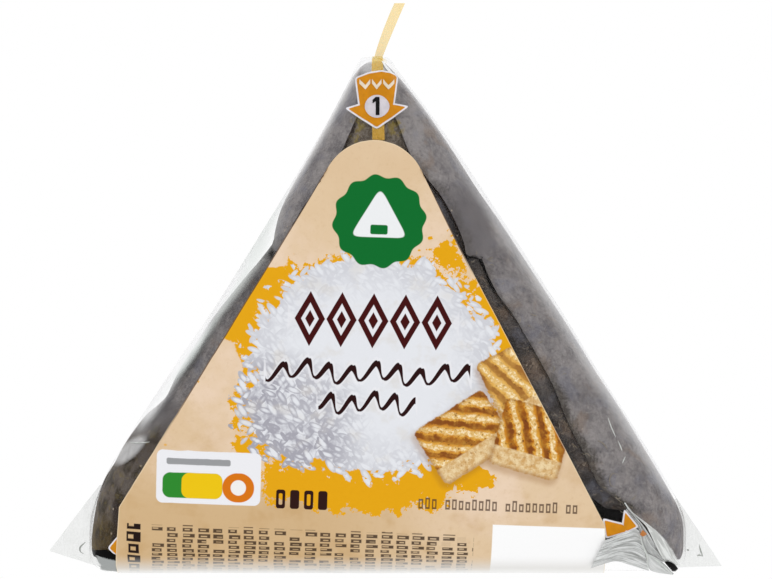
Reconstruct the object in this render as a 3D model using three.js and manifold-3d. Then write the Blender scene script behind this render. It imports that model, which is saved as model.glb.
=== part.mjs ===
// A triangular rice ball in its clear shop wrapper, standing on its base.
// Millimetres. +Z is up, +X is to the right seen from the front, and the front faces -Y.
// The origin is on the table, under the middle of the pack.

import * as THREE from 'three';
import { mergeVertices } from 'three/addons/utils/BufferGeometryUtils.js';
import Module from 'manifold-3d';

const wasm = await Module();
wasm.setup();

// Middle of the triangle, from which every inset outline is scaled.
const MIDDLE = { x: -0.9, z: 29.5 };

// Film round the rice, seen from the front.
const PACK_TOP = 82;
const PACK_BASE = 0.7;
const TOP_LEFT = -3.9;
const TOP_RIGHT = -0.1;
const FOOT_LEFT = -44.6;
const FOOT_RIGHT = 44.4;
const FOOT_CORNER = 47.6;
const LEFT_EDGE = [
  [-47.5, 4.2], [-47, 10.2], [-43.3, 18.6], [-34.8, 31.7], [-26.7, 43.7], [-12, 67.7], [-5.2, 80.3],
];
const RIGHT_EDGE = [
  [1.3, 80.3], [10.6, 67.7], [26.4, 43.7], [33.8, 31.7], [41.6, 19.4], [46.8, 10.2], [47.4, 4.2],
];

// Thickness, front to back.
const HALF_DEPTH = 15;
const EDGE_RADIUS = 9;
const BULGE = 0.5;

// Ears: flat flaps of film that stand out past both bottom corners.
const LEFT_EAR = { top: [-45.9, 15], tip: [-54.2, 3.8], foot: [-45.5, 0.6], root: -43.5 };
const RIGHT_EAR = { top: [46.4, 11.4], tip: [53.4, 0.9], foot: [45.5, 0.35], root: 43.5 };
const EAR_ROOT_THICKNESS = 5;
const EAR_TIP_THICKNESS = 0.9;
const EAR_WAVE = 0.9;
const EAR_TIP_SHARE = 0.25;

// Low relief of the wrapping: the folded bands along both slanted sides, soft lumps,
// and the film gathered at the foot of the right side.
const BAND_WIDTH = 7.5;
const BAND_RISE = 0.35;
const LUMP = 0.22;
const LUMP_PITCH = 9;
const GATHER = { x: 41, z: 4, width: 6, height: 3.5, rise: 1.1 };

// Paper label: a triangle with a round top on the front, running down over the front edge
// as a strip and along the base.
const PAPER = 0.4;
const GAP = 0.3;
const LABEL_LEFT = { x: -42.6, z: 10.4 };
const LABEL_RIGHT = { x: 34.3, z: 8.2 };
const LABEL_TOP_LEFT = { x: -8.9, z: 64.6 };
const LABEL_TOP_RIGHT = { x: 6.1, z: 64.7 };
const LABEL_TOP = 69.3;
const LABEL_UNDER = 11;

// Tear strip: a tape up the front, over the top and down the back, with a free pull tab.
const TAPE_WIDTH = 2.1;
const TAPE_TOP = -1.45;
const TAPE = 0.3;
const TAPE_FRONT_START = 0.76;
const TAB_ROOT = { x: -1.4, y: -2.2 };
const TAB_BEND = { x: -0.3, y: -3.2, z: 85.8 };
const TAB_TIP = { x: 1.9, y: -2, z: 90.2 };
const TAB_TWIST = 0.7;

// Fineness of the meshes.
const SIDE_STEPS = 36;
const CORNER_STEPS = 4;
const FACE_RINGS = 6;
const EDGE_RINGS = 6;
const WALL_RINGS = 3;
const EAR_STEPS = [6, 8, 2];
const LABEL_COLUMNS = 26;
const LABEL_STRIP_ROWS = 16;
const LABEL_FRONT_ROWS = 22;
const TAPE_STEPS = 66;
const TAB_STEPS = 8;

const smooth = (low, high, value) => THREE.MathUtils.smoothstep(value, low, high);
const point = ([x, z]) => new THREE.Vector2(x, z);

// Outline of the film, clockwise from the left corner, as curves with their number of steps.
function filmOutline() {
  const left = LEFT_EDGE.map(point);
  const right = RIGHT_EDGE.map(point);
  const topLeft = point([TOP_LEFT, PACK_TOP]);
  const topRight = point([TOP_RIGHT, PACK_TOP]);
  const footLeft = point([FOOT_LEFT, PACK_BASE]);
  const footRight = point([FOOT_RIGHT, PACK_BASE]);
  const bend = (from, corner, to) => new THREE.QuadraticBezierCurve(from, point(corner), to);
  return [
    [new THREE.SplineCurve(left), SIDE_STEPS],
    [bend(left.at(-1), [TOP_LEFT - 0.5, PACK_TOP], topLeft), CORNER_STEPS],
    [new THREE.LineCurve(topLeft, topRight), 2],
    [bend(topRight, [TOP_RIGHT + 0.5, PACK_TOP], right[0]), CORNER_STEPS],
    [new THREE.SplineCurve(right), SIDE_STEPS],
    [bend(right.at(-1), [FOOT_CORNER, PACK_BASE], footRight), CORNER_STEPS],
    [new THREE.LineCurve(footRight, footLeft), SIDE_STEPS],
    [bend(footLeft, [-FOOT_CORNER, PACK_BASE], left[0]), CORNER_STEPS],
  ];
}

// Points along a list of curves, each with its own number of steps.
function outlinePoints(curves, finer = 1) {
  return curves.flatMap(([curve, steps]) => curve.getSpacedPoints(steps * finer).slice(1));
}

// Distance from the middle to an outline in every direction, as a function of the angle.
function reachOf(points) {
  const polar = points.map((p) => {
    const dx = p.x - MIDDLE.x;
    const dz = p.y - MIDDLE.z;
    return { angle: Math.atan2(dz, dx), reach: Math.hypot(dx, dz) };
  });
  polar.sort((a, b) => a.angle - b.angle);
  return (angle) => {
    let high = polar.findIndex((entry) => entry.angle >= angle);
    if (high < 0) high = 0;
    const after = polar[high];
    const before = polar.at(high - 1);
    const turn = 2 * Math.PI;
    const span = (after.angle - before.angle + turn) % turn;
    const along = ((angle - before.angle + turn) % turn) / span;
    return THREE.MathUtils.lerp(before.reach, after.reach, along);
  };
}

const FILM_CURVES = filmOutline();
const filmReach = reachOf(outlinePoints(FILM_CURVES, 4));
const BASE_REACH = MIDDLE.z - PACK_BASE;
const FLAT_SHARE = 1 - EDGE_RADIUS / BASE_REACH;

// How far the film stands above the plain form on one side, -1 for the front, +1 for the back.
function relief(x, z, inset, side) {
  const onSlope = smooth(4, 14, z);
  const band = BAND_RISE * onSlope * (1 - smooth(BAND_WIDTH - 1, BAND_WIDTH + 1, inset));
  const a = Math.sin(x / LUMP_PITCH + side) * Math.cos(z / LUMP_PITCH - 0.7 * side);
  const b = Math.sin((x + z) / (0.55 * LUMP_PITCH)) * Math.cos((x - z) / (0.7 * LUMP_PITCH) + side);
  const face = smooth(0, 6, inset);
  const bulge = BULGE * smooth(0, BASE_REACH, inset);
  const across = ((x - GATHER.x) / GATHER.width) ** 2;
  const upward = ((z - GATHER.z) / GATHER.height) ** 2;
  const gather = side < 0 ? GATHER.rise * Math.exp(-across - upward) : 0;
  return band * smooth(0, 2, inset) + LUMP * face * (a + 0.6 * b) / 1.6 + bulge + gather;
}

// Point of the film at a point of the front view, on the front (-1) or back (+1). The share
// is how far out the point lies, 0 in the middle and 1 on the outline.
function face(x, z, share, side) {
  const past = Math.max(0, (share - FLAT_SHARE) / (1 - FLAT_SHARE));
  const round = Math.sqrt(Math.max(0, 1 - past * past));
  const half = HALF_DEPTH - EDGE_RADIUS * (1 - round);
  const inset = (1 - share) * BASE_REACH;
  return new THREE.Vector3(x, side * (half + relief(x, z, inset, side)), z);
}

// Point of the film by direction and share of the way out from the middle.
function faceAlong(target, share, side) {
  const x = THREE.MathUtils.lerp(MIDDLE.x, target.x, share);
  const z = THREE.MathUtils.lerp(MIDDLE.z, target.y, share);
  return face(x, z, share, side);
}

// Point of the film on the narrow wall between front and back, from -1 to 1.
function wall(target, across) {
  const front = faceAlong(target, 1, -1).y;
  const back = faceAlong(target, 1, 1).y;
  const y = THREE.MathUtils.lerp(front, back, (across + 1) / 2);
  return new THREE.Vector3(target.x, y, target.y);
}

// Shares of the way out for the rings of one face: even over the flat, by angle on the edge.
function ringShares() {
  const flat = Array.from({ length: FACE_RINGS }, (_, i) => FLAT_SHARE * (i + 1) / FACE_RINGS);
  const edge = Array.from({ length: EDGE_RINGS }, (_, i) => {
    const angle = (Math.PI / 2) * (i + 1) / EDGE_RINGS;
    return FLAT_SHARE + (1 - FLAT_SHARE) * Math.sin(angle);
  });
  return [0, ...flat, ...edge];
}

// The pack: a sphere whose poles are the middles of the back and front faces, with every
// ring of its grid laid on the film.
function packGeometry() {
  const outline = outlinePoints(FILM_CURVES);
  const shares = ringShares();
  const levels = Array.from({ length: WALL_RINGS - 1 }, (_, i) => 1 - 2 * (i + 1) / WALL_RINGS);
  const rings = [
    ...shares.map((share) => (target) => faceAlong(target, share, 1)),
    ...levels.map((across) => (target) => wall(target, across)),
    ...shares.toReversed().map((share) => (target) => faceAlong(target, share, -1)),
  ];
  const geometry = new THREE.SphereGeometry(1, outline.length, rings.length - 1);
  const position = geometry.attributes.position;
  const columns = outline.length + 1;
  for (let index = 0; index < position.count; index += 1) {
    const ring = Math.floor(index / columns);
    const target = outline[(index % columns) % outline.length];
    const place = rings[ring](target);
    position.setXYZ(index, place.x, place.y, place.z);
  }
  return closed(geometry);
}

// An ear: a slab whose root lies inside the pack and whose outer side runs from the foot
// to the tip and up to the top of the ear.
function earGeometry(ear) {
  const [outward, upward, through] = EAR_STEPS;
  const geometry = new THREE.BoxGeometry(1, 1, 1, outward, upward, through);
  const position = geometry.attributes.position;
  const [top, tip, foot] = [ear.top, ear.tip, ear.foot].map(point);
  const side = Math.sign(ear.root);
  for (let index = 0; index < position.count; index += 1) {
    const out = side * position.getX(index) + 0.5;
    const up = position.getY(index) + 0.5;
    const underTip = foot.clone().lerp(tip, up / EAR_TIP_SHARE);
    const overTip = tip.clone().lerp(top, (up - EAR_TIP_SHARE) / (1 - EAR_TIP_SHARE));
    const edge = up < EAR_TIP_SHARE ? underTip : overTip;
    const root = new THREE.Vector2(ear.root, THREE.MathUtils.lerp(foot.y + 0.6, top.y - 1.5, up));
    const spot = root.lerp(edge, out);
    const thick = THREE.MathUtils.lerp(EAR_ROOT_THICKNESS, EAR_TIP_THICKNESS, Math.min(1, 1.2 * out));
    const wave = EAR_WAVE * out * Math.sin(spot.y / 2.2 + side);
    position.setXYZ(index, spot.x, wave - thick * position.getZ(index), spot.y);
  }
  return closed(geometry);
}

// The wrapped ball with both ears in one piece.
function wrapperGeometry() {
  const ears = [LEFT_EAR, RIGHT_EAR].map((ear) => solid(earGeometry(ear)));
  return fromSolid(solid(packGeometry()).add(ears[0]).add(ears[1]));
}

// Point of the film under the label: height is the paper's distance up from the base, and
// goes on below zero round the front edge and along the base.
function underLabel(x, height) {
  const turned = THREE.MathUtils.clamp((EDGE_RADIUS - height) / EDGE_RADIUS, 0, Math.PI / 2);
  const onEdge = EDGE_RADIUS * (1 - Math.sin(turned));
  const z = PACK_BASE + Math.max(height, onEdge);
  const share = Math.hypot(x - MIDDLE.x, z - MIDDLE.z) / filmReach(Math.atan2(z - MIDDLE.z, x - MIDDLE.x));
  const place = face(x, z, Math.min(share, 1), -1);
  place.y += Math.max(0, EDGE_RADIUS * (1 - Math.PI / 2) - height);
  return place;
}

// The same point moved outwards from the film.
function offLabel(x, height, rise) {
  const step = 0.4;
  const across = underLabel(x + step, height).sub(underLabel(x - step, height));
  const upward = underLabel(x, height + step).sub(underLabel(x, height - step));
  const out = across.cross(upward).normalize();
  return underLabel(x, height).addScaledVector(out, rise);
}

// Place on the unrolled label: across from 0 to 1, and the row in the strip or on the front.
function labelPlace(across, row) {
  const lerp = THREE.MathUtils.lerp;
  const under = PACK_BASE - EDGE_RADIUS * (Math.PI / 2 - 1) - LABEL_UNDER;
  if (row <= LABEL_STRIP_ROWS) {
    const share = row / LABEL_STRIP_ROWS;
    const x = lerp(LABEL_LEFT.x, LABEL_RIGHT.x, across);
    return { x, z: lerp(under, lerp(LABEL_LEFT.z, LABEL_RIGHT.z, across), share) };
  }
  const share = (row - LABEL_STRIP_ROWS) / LABEL_FRONT_ROWS;
  const leftX = lerp(LABEL_LEFT.x, LABEL_TOP_LEFT.x, share);
  const leftZ = lerp(LABEL_LEFT.z, LABEL_TOP_LEFT.z, share);
  const rightX = lerp(LABEL_RIGHT.x, LABEL_TOP_RIGHT.x, share);
  const rightZ = lerp(LABEL_RIGHT.z, LABEL_TOP_RIGHT.z, share);
  const dome = (LABEL_TOP - LABEL_TOP_LEFT.z) * (1 - (2 * across - 1) ** 2) ** 0.8;
  return { x: lerp(leftX, rightX, across), z: lerp(leftZ, rightZ, across) + dome * share ** 6 };
}

// The label: a flat slab of paper laid over the front, the front edge and the base.
function labelGeometry() {
  const rows = LABEL_STRIP_ROWS + LABEL_FRONT_ROWS;
  const geometry = new THREE.BoxGeometry(1, 1, 1, LABEL_COLUMNS, rows, 1);
  const position = geometry.attributes.position;
  for (let index = 0; index < position.count; index += 1) {
    const across = position.getX(index) + 0.5;
    const row = (position.getY(index) + 0.5) * rows;
    const rise = position.getZ(index) > 0 ? GAP + PAPER : GAP;
    const spot = labelPlace(across, row);
    const place = offLabel(spot.x, spot.z - PACK_BASE, rise);
    position.setXYZ(index, place.x, place.y, place.z);
  }
  return closed(geometry);
}

// A thin ribbon along a route that gives a place, the direction across and the direction out.
function ribbon(route, steps, low, high) {
  const geometry = new THREE.BoxGeometry(1, 1, 1, 1, steps, 1);
  const position = geometry.attributes.position;
  for (let index = 0; index < position.count; index += 1) {
    const { place, across, out } = route(position.getY(index) + 0.5);
    place.addScaledVector(across, TAPE_WIDTH * position.getX(index));
    place.addScaledVector(out, position.getZ(index) > 0 ? high : low);
    position.setXYZ(index, place.x, place.y, place.z);
  }
  return closed(geometry);
}

// Route of the tape over the film, from below the arrow on the front to the base at the back.
function tapeRoute(along) {
  const top = new THREE.Vector2(TAPE_TOP, PACK_TOP);
  const foot = new THREE.Vector2(MIDDLE.x, PACK_BASE);
  const toShare = (t) => FLAT_SHARE + (1 - FLAT_SHARE) * Math.sin(t * Math.PI / 2);
  const startTurn = Math.asin((TAPE_FRONT_START - FLAT_SHARE) / (1 - FLAT_SHARE)) / (Math.PI / 2);
  const legs = [
    [0.16, (t) => faceAlong(top, toShare(THREE.MathUtils.lerp(startTurn, 1, t)), -1)],
    [0.1, (t) => wall(top, 2 * t - 1)],
    [0.16, (t) => faceAlong(top, toShare(1 - t), 1)],
    [0.42, (t) => downTheBack(top, foot, t)],
    [0.16, (t) => faceAlong(foot, toShare(t), 1)],
  ];
  const at = (share) => {
    let start = 0;
    let index = 0;
    while (index < legs.length - 1 && share >= start + legs[index][0]) {
      start += legs[index][0];
      index += 1;
    }
    return legs[index][1](THREE.MathUtils.clamp((share - start) / legs[index][0], 0, 1));
  };
  const place = at(along);
  const forward = at(along + 0.004).sub(at(along - 0.004)).normalize();
  const across = new THREE.Vector3(1, 0, 0);
  return { place, across, out: across.clone().cross(forward).normalize() };
}

// Straight run down the flat of the back, from its top edge to its bottom edge.
function downTheBack(top, foot, t) {
  const start = FLAT_SHARE * (PACK_TOP - MIDDLE.z);
  const end = -FLAT_SHARE * BASE_REACH;
  const height = THREE.MathUtils.lerp(start, end, t);
  const share = height > 0 ? height / (PACK_TOP - MIDDLE.z) : -height / BASE_REACH;
  return faceAlong(height > 0 ? top : foot, share, 1);
}

// Route of the free tab: from the tape on the top, up and to the right with a slight twist.
function tabRoute(along) {
  const root = new THREE.Vector3(TAB_ROOT.x, TAB_ROOT.y, PACK_TOP + GAP);
  const bend = new THREE.Vector3(TAB_BEND.x, TAB_BEND.y, TAB_BEND.z);
  const tip = new THREE.Vector3(TAB_TIP.x, TAB_TIP.y, TAB_TIP.z);
  const curve = new THREE.QuadraticBezierCurve3(root, bend, tip);
  const forward = curve.getTangent(along);
  const turned = new THREE.Vector3(1, 0, 0).applyAxisAngle(new THREE.Vector3(0, 0, 1), TAB_TWIST * along);
  const out = turned.clone().cross(forward).normalize();
  return { place: curve.getPoint(along), across: forward.clone().cross(out).normalize(), out };
}

// The tear strip: the tape and its tab in one piece.
function stripGeometry() {
  const tape = solid(ribbon(tapeRoute, TAPE_STEPS, GAP, GAP + TAPE));
  const tab = solid(ribbon(tabRoute, TAB_STEPS, 0, TAPE));
  return fromSolid(tape.add(tab));
}

// A geometry with only its positions, and one vertex where several lie together.
function closed(geometry) {
  geometry.deleteAttribute('normal');
  geometry.deleteAttribute('uv');
  return mergeVertices(geometry, 1e-3);
}

function solid(geometry) {
  const vertProperties = new Float32Array(geometry.attributes.position.array);
  const triVerts = new Uint32Array(geometry.index.array);
  return new wasm.Manifold(new wasm.Mesh({ numProp: 3, vertProperties, triVerts }));
}

function fromSolid(shape) {
  const mesh = shape.getMesh();
  const geometry = new THREE.BufferGeometry();
  geometry.setAttribute('position', new THREE.BufferAttribute(new Float32Array(mesh.vertProperties), 3));
  geometry.setIndex(new THREE.BufferAttribute(new Uint32Array(mesh.triVerts), 1));
  return geometry;
}

function piece(name, geometry, color, roughness) {
  geometry.computeVertexNormals();
  const material = new THREE.MeshStandardMaterial({ color, roughness, metalness: 0 });
  const mesh = new THREE.Mesh(geometry, material);
  mesh.name = name;
  return mesh;
}

const onigiri = new THREE.Group();
onigiri.add(piece('film_pack', wrapperGeometry(), 0x6f6c69, 0.3));
onigiri.add(piece('label', labelGeometry(), 0xdec4a0, 0.7));
onigiri.add(piece('tear_strip', stripGeometry(), 0xe4a63c, 0.4));

export default onigiri;
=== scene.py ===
import bisect
import math
import random

import bmesh
import bpy
from bpy.props import FloatProperty, FloatVectorProperty, PointerProperty
from bpy.types import Operator, Panel, PropertyGroup
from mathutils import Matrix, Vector, noise


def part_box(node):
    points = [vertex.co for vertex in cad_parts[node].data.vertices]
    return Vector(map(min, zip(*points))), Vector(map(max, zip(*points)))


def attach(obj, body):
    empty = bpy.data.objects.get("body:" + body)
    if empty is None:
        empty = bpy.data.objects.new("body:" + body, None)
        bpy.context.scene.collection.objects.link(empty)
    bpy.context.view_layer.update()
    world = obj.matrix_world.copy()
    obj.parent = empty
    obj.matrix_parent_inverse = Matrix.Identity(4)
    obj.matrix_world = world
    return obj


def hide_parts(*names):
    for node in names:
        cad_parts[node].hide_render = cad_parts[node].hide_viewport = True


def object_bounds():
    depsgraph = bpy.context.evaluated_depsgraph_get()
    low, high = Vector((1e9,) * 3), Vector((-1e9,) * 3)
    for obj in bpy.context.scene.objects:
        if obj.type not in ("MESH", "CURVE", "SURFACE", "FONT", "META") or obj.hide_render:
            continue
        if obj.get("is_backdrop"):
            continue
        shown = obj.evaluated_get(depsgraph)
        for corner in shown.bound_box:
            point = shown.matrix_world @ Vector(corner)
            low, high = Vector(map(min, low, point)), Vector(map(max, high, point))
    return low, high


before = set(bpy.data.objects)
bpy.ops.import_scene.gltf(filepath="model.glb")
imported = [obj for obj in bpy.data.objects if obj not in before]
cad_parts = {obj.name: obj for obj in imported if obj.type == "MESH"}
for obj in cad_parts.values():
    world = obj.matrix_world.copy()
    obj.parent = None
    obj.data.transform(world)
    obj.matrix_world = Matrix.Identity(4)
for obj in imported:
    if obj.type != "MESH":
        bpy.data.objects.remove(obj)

CAD_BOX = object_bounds()

bl_info = {
    "name": "Wrapped Rice Ball",
    "version": (1, 0, 0),
    "blender": (4, 5, 0),
    "location": "3D View > Sidebar > Rice Ball",
    "description": "Builds a film-wrapped rice ball in seaweed with its paper label and tear strip",
    "category": "Object",
}

# Sizes are in millimetres, seen from the front: x to the right and z up from the table.
MM = 0.001
MIDDLE = Vector((-0.9, 29.5))

# Film round the rice, as the solid has it.
PACK_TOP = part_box("film_pack")[1].z / MM
PACK_BASE = 0.7
TOP_LEFT = -3.9
TOP_RIGHT = -0.1
FOOT_LEFT = -44.6
FOOT_RIGHT = 44.4
FOOT_CORNER = 47.6
LEFT_EDGE = [
    (-47.5, 4.2), (-47, 10.2), (-43.3, 18.6), (-34.8, 31.7), (-26.7, 43.7), (-12, 67.7), (-5.2, 80.3),
]
RIGHT_EDGE = [
    (1.3, 80.3), (10.6, 67.7), (26.4, 43.7), (33.8, 31.7), (41.6, 19.4), (46.8, 10.2), (47.4, 4.2),
]
HALF_DEPTH = 15
EDGE_RADIUS = 9
BULGE = 0.5
BAND_WIDTH = 7.5
BAND_RISE = 0.35
LUMP = 0.22
LUMP_PITCH = 9
GATHER_PLACE = Vector((41, 4))
GATHER_SIZE = Vector((6, 3.5))
GATHER_RISE = 1.1
BASE_REACH = MIDDLE.y - PACK_BASE
FLAT_SHARE = 1 - EDGE_RADIUS / BASE_REACH

# Seaweed inside the film. On the left it falls short of the film in two notches, and on the
# right it follows the film closely.
SEAWEED_TOP = 81.5
SEAWEED_LEFT = [
    (-46, 2), (-46.9, 2.8), (-47.2, 4.2), (-47.1, 6.6), (-46.7, 9.4), (-46.1, 12.3), (-45, 15.2),
    (-43.6, 17.5), (-42.4, 19.8), (-40.9, 22.1), (-39.1, 24.4), (-37.2, 26), (-35.4, 28),
    (-33.4, 32), (-30.9, 36), (-28.4, 39.9), (-25.3, 43.9), (-23.2, 46.5), (-21.4, 48.6),
    (-19.6, 50.4), (-18.6, 51), (-17.7, 51.2), (-18.1, 52.6), (-17.9, 54.6), (-16.9, 58.2),
    (-14.9, 62.2), (-12, 67.3), (-8.8, 73.2), (-5.6, 79),
]
SEAWEED_RIGHT = [
    (1.3, 79.4), (5.4, 74.4), (10, 67.7), (14.1, 61.3), (18, 55.7), (22, 49.6), (25.9, 43.6),
    (29.2, 38.5), (33.3, 31.8), (37.2, 25.9), (41, 19.6), (44.2, 14.3), (46.2, 10.6), (47, 8),
    (47.1, 5), (47, 3.4), (46.5, 2.3), (45.4, 2),
]
SEAWEED_HALF = 14.1
FILM_CLEARANCE = 0.3
FLAP_THICKNESS = 0.32
FLAP_RIGHT = [
    (-2.6, 80.6), (-0.4, 76), (0.7, 73.6), (1.5, 72.2), (3.6, 67), (6.3, 63.2), (8.3, 60.7), (10.6, 56.6),
    (11.9, 53.3), (12.4, 51.4), (14.3, 51.1), (15, 50.2), (15.7, 48.3), (17.4, 45), (19.7, 41.9),
    (21.8, 38.4), (23.7, 35.1), (25.9, 30.9), (28.5, 24.6), (30.9, 20), (33.1, 15.3), (35.2, 13.5),
    (37.2, 12.3), (38.2, 11), (39.5, 9.7), (40.8, 8.3), (41.8, 6.3), (43.2, 4.2),
]
FLAP_LEFT = [
    (-1.6, 80.6), (-3.2, 77), (-4.6, 73.8), (-5.9, 70.7), (-7.4, 67.4), (-11, 60), (-17, 50),
    (-24, 39), (-31, 28), (-36, 19), (-39, 11), (-41, 5),
]
FLAP_WALL_SHARE = 0.22
BALL_INSET = 0.12
HOLLOW_PLACE = Vector((34.8, 10.4))
HOLLOW_REACH = 2.6
HOLLOW_DEPTH = 1.6

# Ears: top, tip and foot of each flat film flap, and where its root lies.
EAR_ROOT = 45
EAR_REACH = 9
LEFT_EAR = {"top": (-46.2, 13.6), "tip": (-54.4, 2.9), "foot": (-45.5, 0.1), "root": -EAR_ROOT}
RIGHT_EAR = {"top": (46.4, 11.4), "tip": (53.7, 0.4), "foot": (45.5, 0.2), "root": EAR_ROOT}
EAR_TIP_SHARE = 0.25
EAR_THICKNESS = 0.3
EAR_WAVE = 0.7

# Label: a triangle with a round top, running down over the front edge and along the base.
LABEL_LEFT = Vector((-42.1, 11.6))
LABEL_RIGHT = Vector((34.1, 8.9))
LABEL_TOP_LEFT = Vector((-9.3, 64.6))
LABEL_TOP_RIGHT = Vector((5.0, 64.7))
LABEL_TOP = 69.4
LABEL_FOOT = (-42.9, 34.3)
LABEL_FOOT_HEIGHT = 0.5
LABEL_FOOT_SHARE = 0.34
LABEL_UNDER = 11
LABEL_RISE = 0.45
PAPER_THICKNESS = 0.15
PRINT_TILT = math.radians(-2)
PRINT_MIDDLE = 30

# Tear strip.
TAPE_WIDTH = 1.9
TAPE_TOP = -1.65
TAPE_RISE = 0.15
TAPE_THICKNESS = 0.08
TAPE_NARROWING = 0.13
TAPE_FRONT_START = 0.76
TAB_ROOT = Vector((-1.5, -2.2))
TAB_BEND = Vector((-0.3, -3.2, 85.8))
TAB_TIP = Vector((1.9, -2, 90.7))
TAB_TWIST = 0.7
TAB_WIDTH = (1.3, 1.95)

# Prints on the film and thin folds of it.
RIM_RISE, INK_RISE, DISC_RISE, NUMERAL_RISE = 0.25, 0.31, 0.37, 0.43
FOLD_PRINT_RISE = 0.8
PRINT_THICKNESS = 0.03
PRINT_CELL = 0.5
FINE_PRINT_CELL = 0.25
CORNER_SHARE = 0.45

# Folds and creases of film, and crinkles in the seaweed.
GATHER_THICKNESS = 0.06
CORE_THICKNESS = 0.04
LIP_THICKNESS = 0.05
CRINKLE_THICKNESS = 0.02
CRINKLE_COUNT = 30
CRINKLE_SEED = 11

# Fineness of the meshes. Rings lie on the flat, on the round edge and on the side wall.
BALL_RINGS = (22, 14, 10)
BALL_COLUMNS = 620
FILM_RINGS = (26, 18, 8)
FILM_COLUMNS = 600
FLAP_GRID = (34, 300)
FOLD_GRID = (8, 300)
EAR_GRID = (30, 52)
FAN_GRID = (60, 90)
LENS_GRID = (30, 24)
CORE_GRID = (16, 60)
LIP_GRID = (20, 70)
PEAK_GRID = (6, 20)
LABEL_GRID = (130, 200)
TAPE_GRID = (6, 420)
TAB_GRID = (6, 60)
SHARP_ANGLE = math.radians(50)

# Camera, which looks at the pack from the front and a little from above.
LENS = 200
SENSOR = 36
CAMERA_TARGET = Vector((-0.3, 0, 45))
CAMERA_RISE = math.radians(4)
CAMERA_DISTANCE = 686
FAR_CLIP = 50
FLOOR_REACH = 6


def lerp(start, end, share):
    return start + (end - start) * share


def clamp(value, low=0.0, high=1.0):
    return max(low, min(high, value))


def smooth(low, high, value):
    share = clamp((value - low) / (high - low))
    return share * share * (3 - 2 * share)


def spline(points, steps):
    """Points of a smooth line through the given ones, the first left out."""
    last = len(points) - 1
    made = []
    for step in range(1, steps + 1):
        at = last * step / steps
        index = min(int(at), last - 1)
        made.append(on_spline(points, index, at - index))
    return made


def on_spline(points, index, t):
    """Point of the smooth line at a share of the way from one given point to the next."""
    last = len(points) - 1
    before = Vector(points[max(index - 1, 0)])
    start = Vector(points[index])
    end = Vector(points[min(index + 1, last)])
    after = Vector(points[min(index + 2, last)])
    leave = (end - before) / 2
    arrive = (after - start) / 2
    cubic = 2 * start - 2 * end + leave + arrive
    square = -3 * start + 3 * end - 2 * leave - arrive
    return ((cubic * t + square) * t + leave) * t + start


def bend(start, corner, end, steps=12):
    """Points of a curve that turns a corner, the first left out."""
    shares = [step / steps for step in range(1, steps + 1)]
    return [lerp(lerp(start, corner, t), lerp(corner, end, t), t) for t in shares]


class Outline:
    """A closed line round the middle of the pack, seen from the front."""

    def __init__(self, points):
        polar = []
        for point in points:
            away = point - MIDDLE
            polar.append((math.atan2(away.y, away.x), away.length))
        polar.sort()
        self.angles = [angle for angle, _ in polar]
        self.reaches = [reach for _, reach in polar]

    def reach(self, angle):
        """Distance from the middle to the line in one direction."""
        high = bisect.bisect_left(self.angles, angle) % len(self.angles)
        span = (self.angles[high] - self.angles[high - 1]) % math.tau
        along = ((angle - self.angles[high - 1]) % math.tau) / span
        return lerp(self.reaches[high - 1], self.reaches[high], along)

    def share(self, x, z):
        """How far out a point lies: 0 in the middle and 1 on the line."""
        away = Vector((x, z)) - MIDDLE
        return away.length / self.reach(math.atan2(away.y, away.x))

    def around(self, count, samples=4000):
        """Evenly spaced points, counter-clockwise from the right of the middle."""
        line = []
        for index in range(samples + 1):
            angle = math.tau * index / samples
            reach = self.reach(math.remainder(angle, math.tau))
            line.append(MIDDLE + reach * Vector((math.cos(angle), math.sin(angle))))
        lengths = [0.0]
        for start, end in zip(line, line[1:]):
            lengths.append(lengths[-1] + (end - start).length)
        made = []
        for index in range(count):
            length = lengths[-1] * index / count
            at = bisect.bisect_right(lengths, length) - 1
            share = (length - lengths[at]) / (lengths[at + 1] - lengths[at])
            made.append(lerp(line[at], line[at + 1], share))
        return made


def film_line():
    """The film's outline, seen from the front."""
    top_left = Vector((TOP_LEFT, PACK_TOP))
    top_right = Vector((TOP_RIGHT, PACK_TOP))
    foot_left = Vector((FOOT_LEFT, PACK_BASE))
    foot_right = Vector((FOOT_RIGHT, PACK_BASE))
    left_start, left_end = Vector(LEFT_EDGE[0]), Vector(LEFT_EDGE[-1])
    right_start, right_end = Vector(RIGHT_EDGE[0]), Vector(RIGHT_EDGE[-1])
    base = [lerp(foot_right, foot_left, step / 60) for step in range(1, 61)]
    return [
        *spline(LEFT_EDGE, 160),
        *bend(left_end, Vector((TOP_LEFT - 0.5, PACK_TOP)), top_left),
        top_right,
        *bend(top_right, Vector((TOP_RIGHT + 0.5, PACK_TOP)), right_start),
        *spline(RIGHT_EDGE, 160),
        *bend(right_end, Vector((FOOT_CORNER, PACK_BASE)), foot_right),
        *base,
        *bend(foot_left, Vector((-FOOT_CORNER, PACK_BASE)), left_start),
    ]


def seaweed_line():
    """The seaweed's outline, kept inside the film."""
    left, right = Vector(SEAWEED_LEFT[-1]), Vector(SEAWEED_RIGHT[0])
    peak_left, peak_right = Vector((-2.6, SEAWEED_TOP)), Vector((-0.9, SEAWEED_TOP))
    foot_left, foot_right = Vector(SEAWEED_LEFT[0]), Vector(SEAWEED_RIGHT[-1])
    base = [lerp(foot_right, foot_left, step / 60) for step in range(1, 60)]
    line = [
        *spline(SEAWEED_LEFT, 400),
        *bend(left, Vector((-4.4, SEAWEED_TOP - 0.4)), peak_left, 6),
        peak_right,
        *bend(peak_right, Vector((-0.2, SEAWEED_TOP - 0.4)), right, 6),
        *spline(SEAWEED_RIGHT, 300),
        *base,
    ]
    made = []
    for point in line:
        away = point - MIDDLE
        most = FILM.reach(math.atan2(away.y, away.x)) - FILM_CLEARANCE
        made.append(MIDDLE + away * min(1, most / away.length))
    return made


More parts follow.
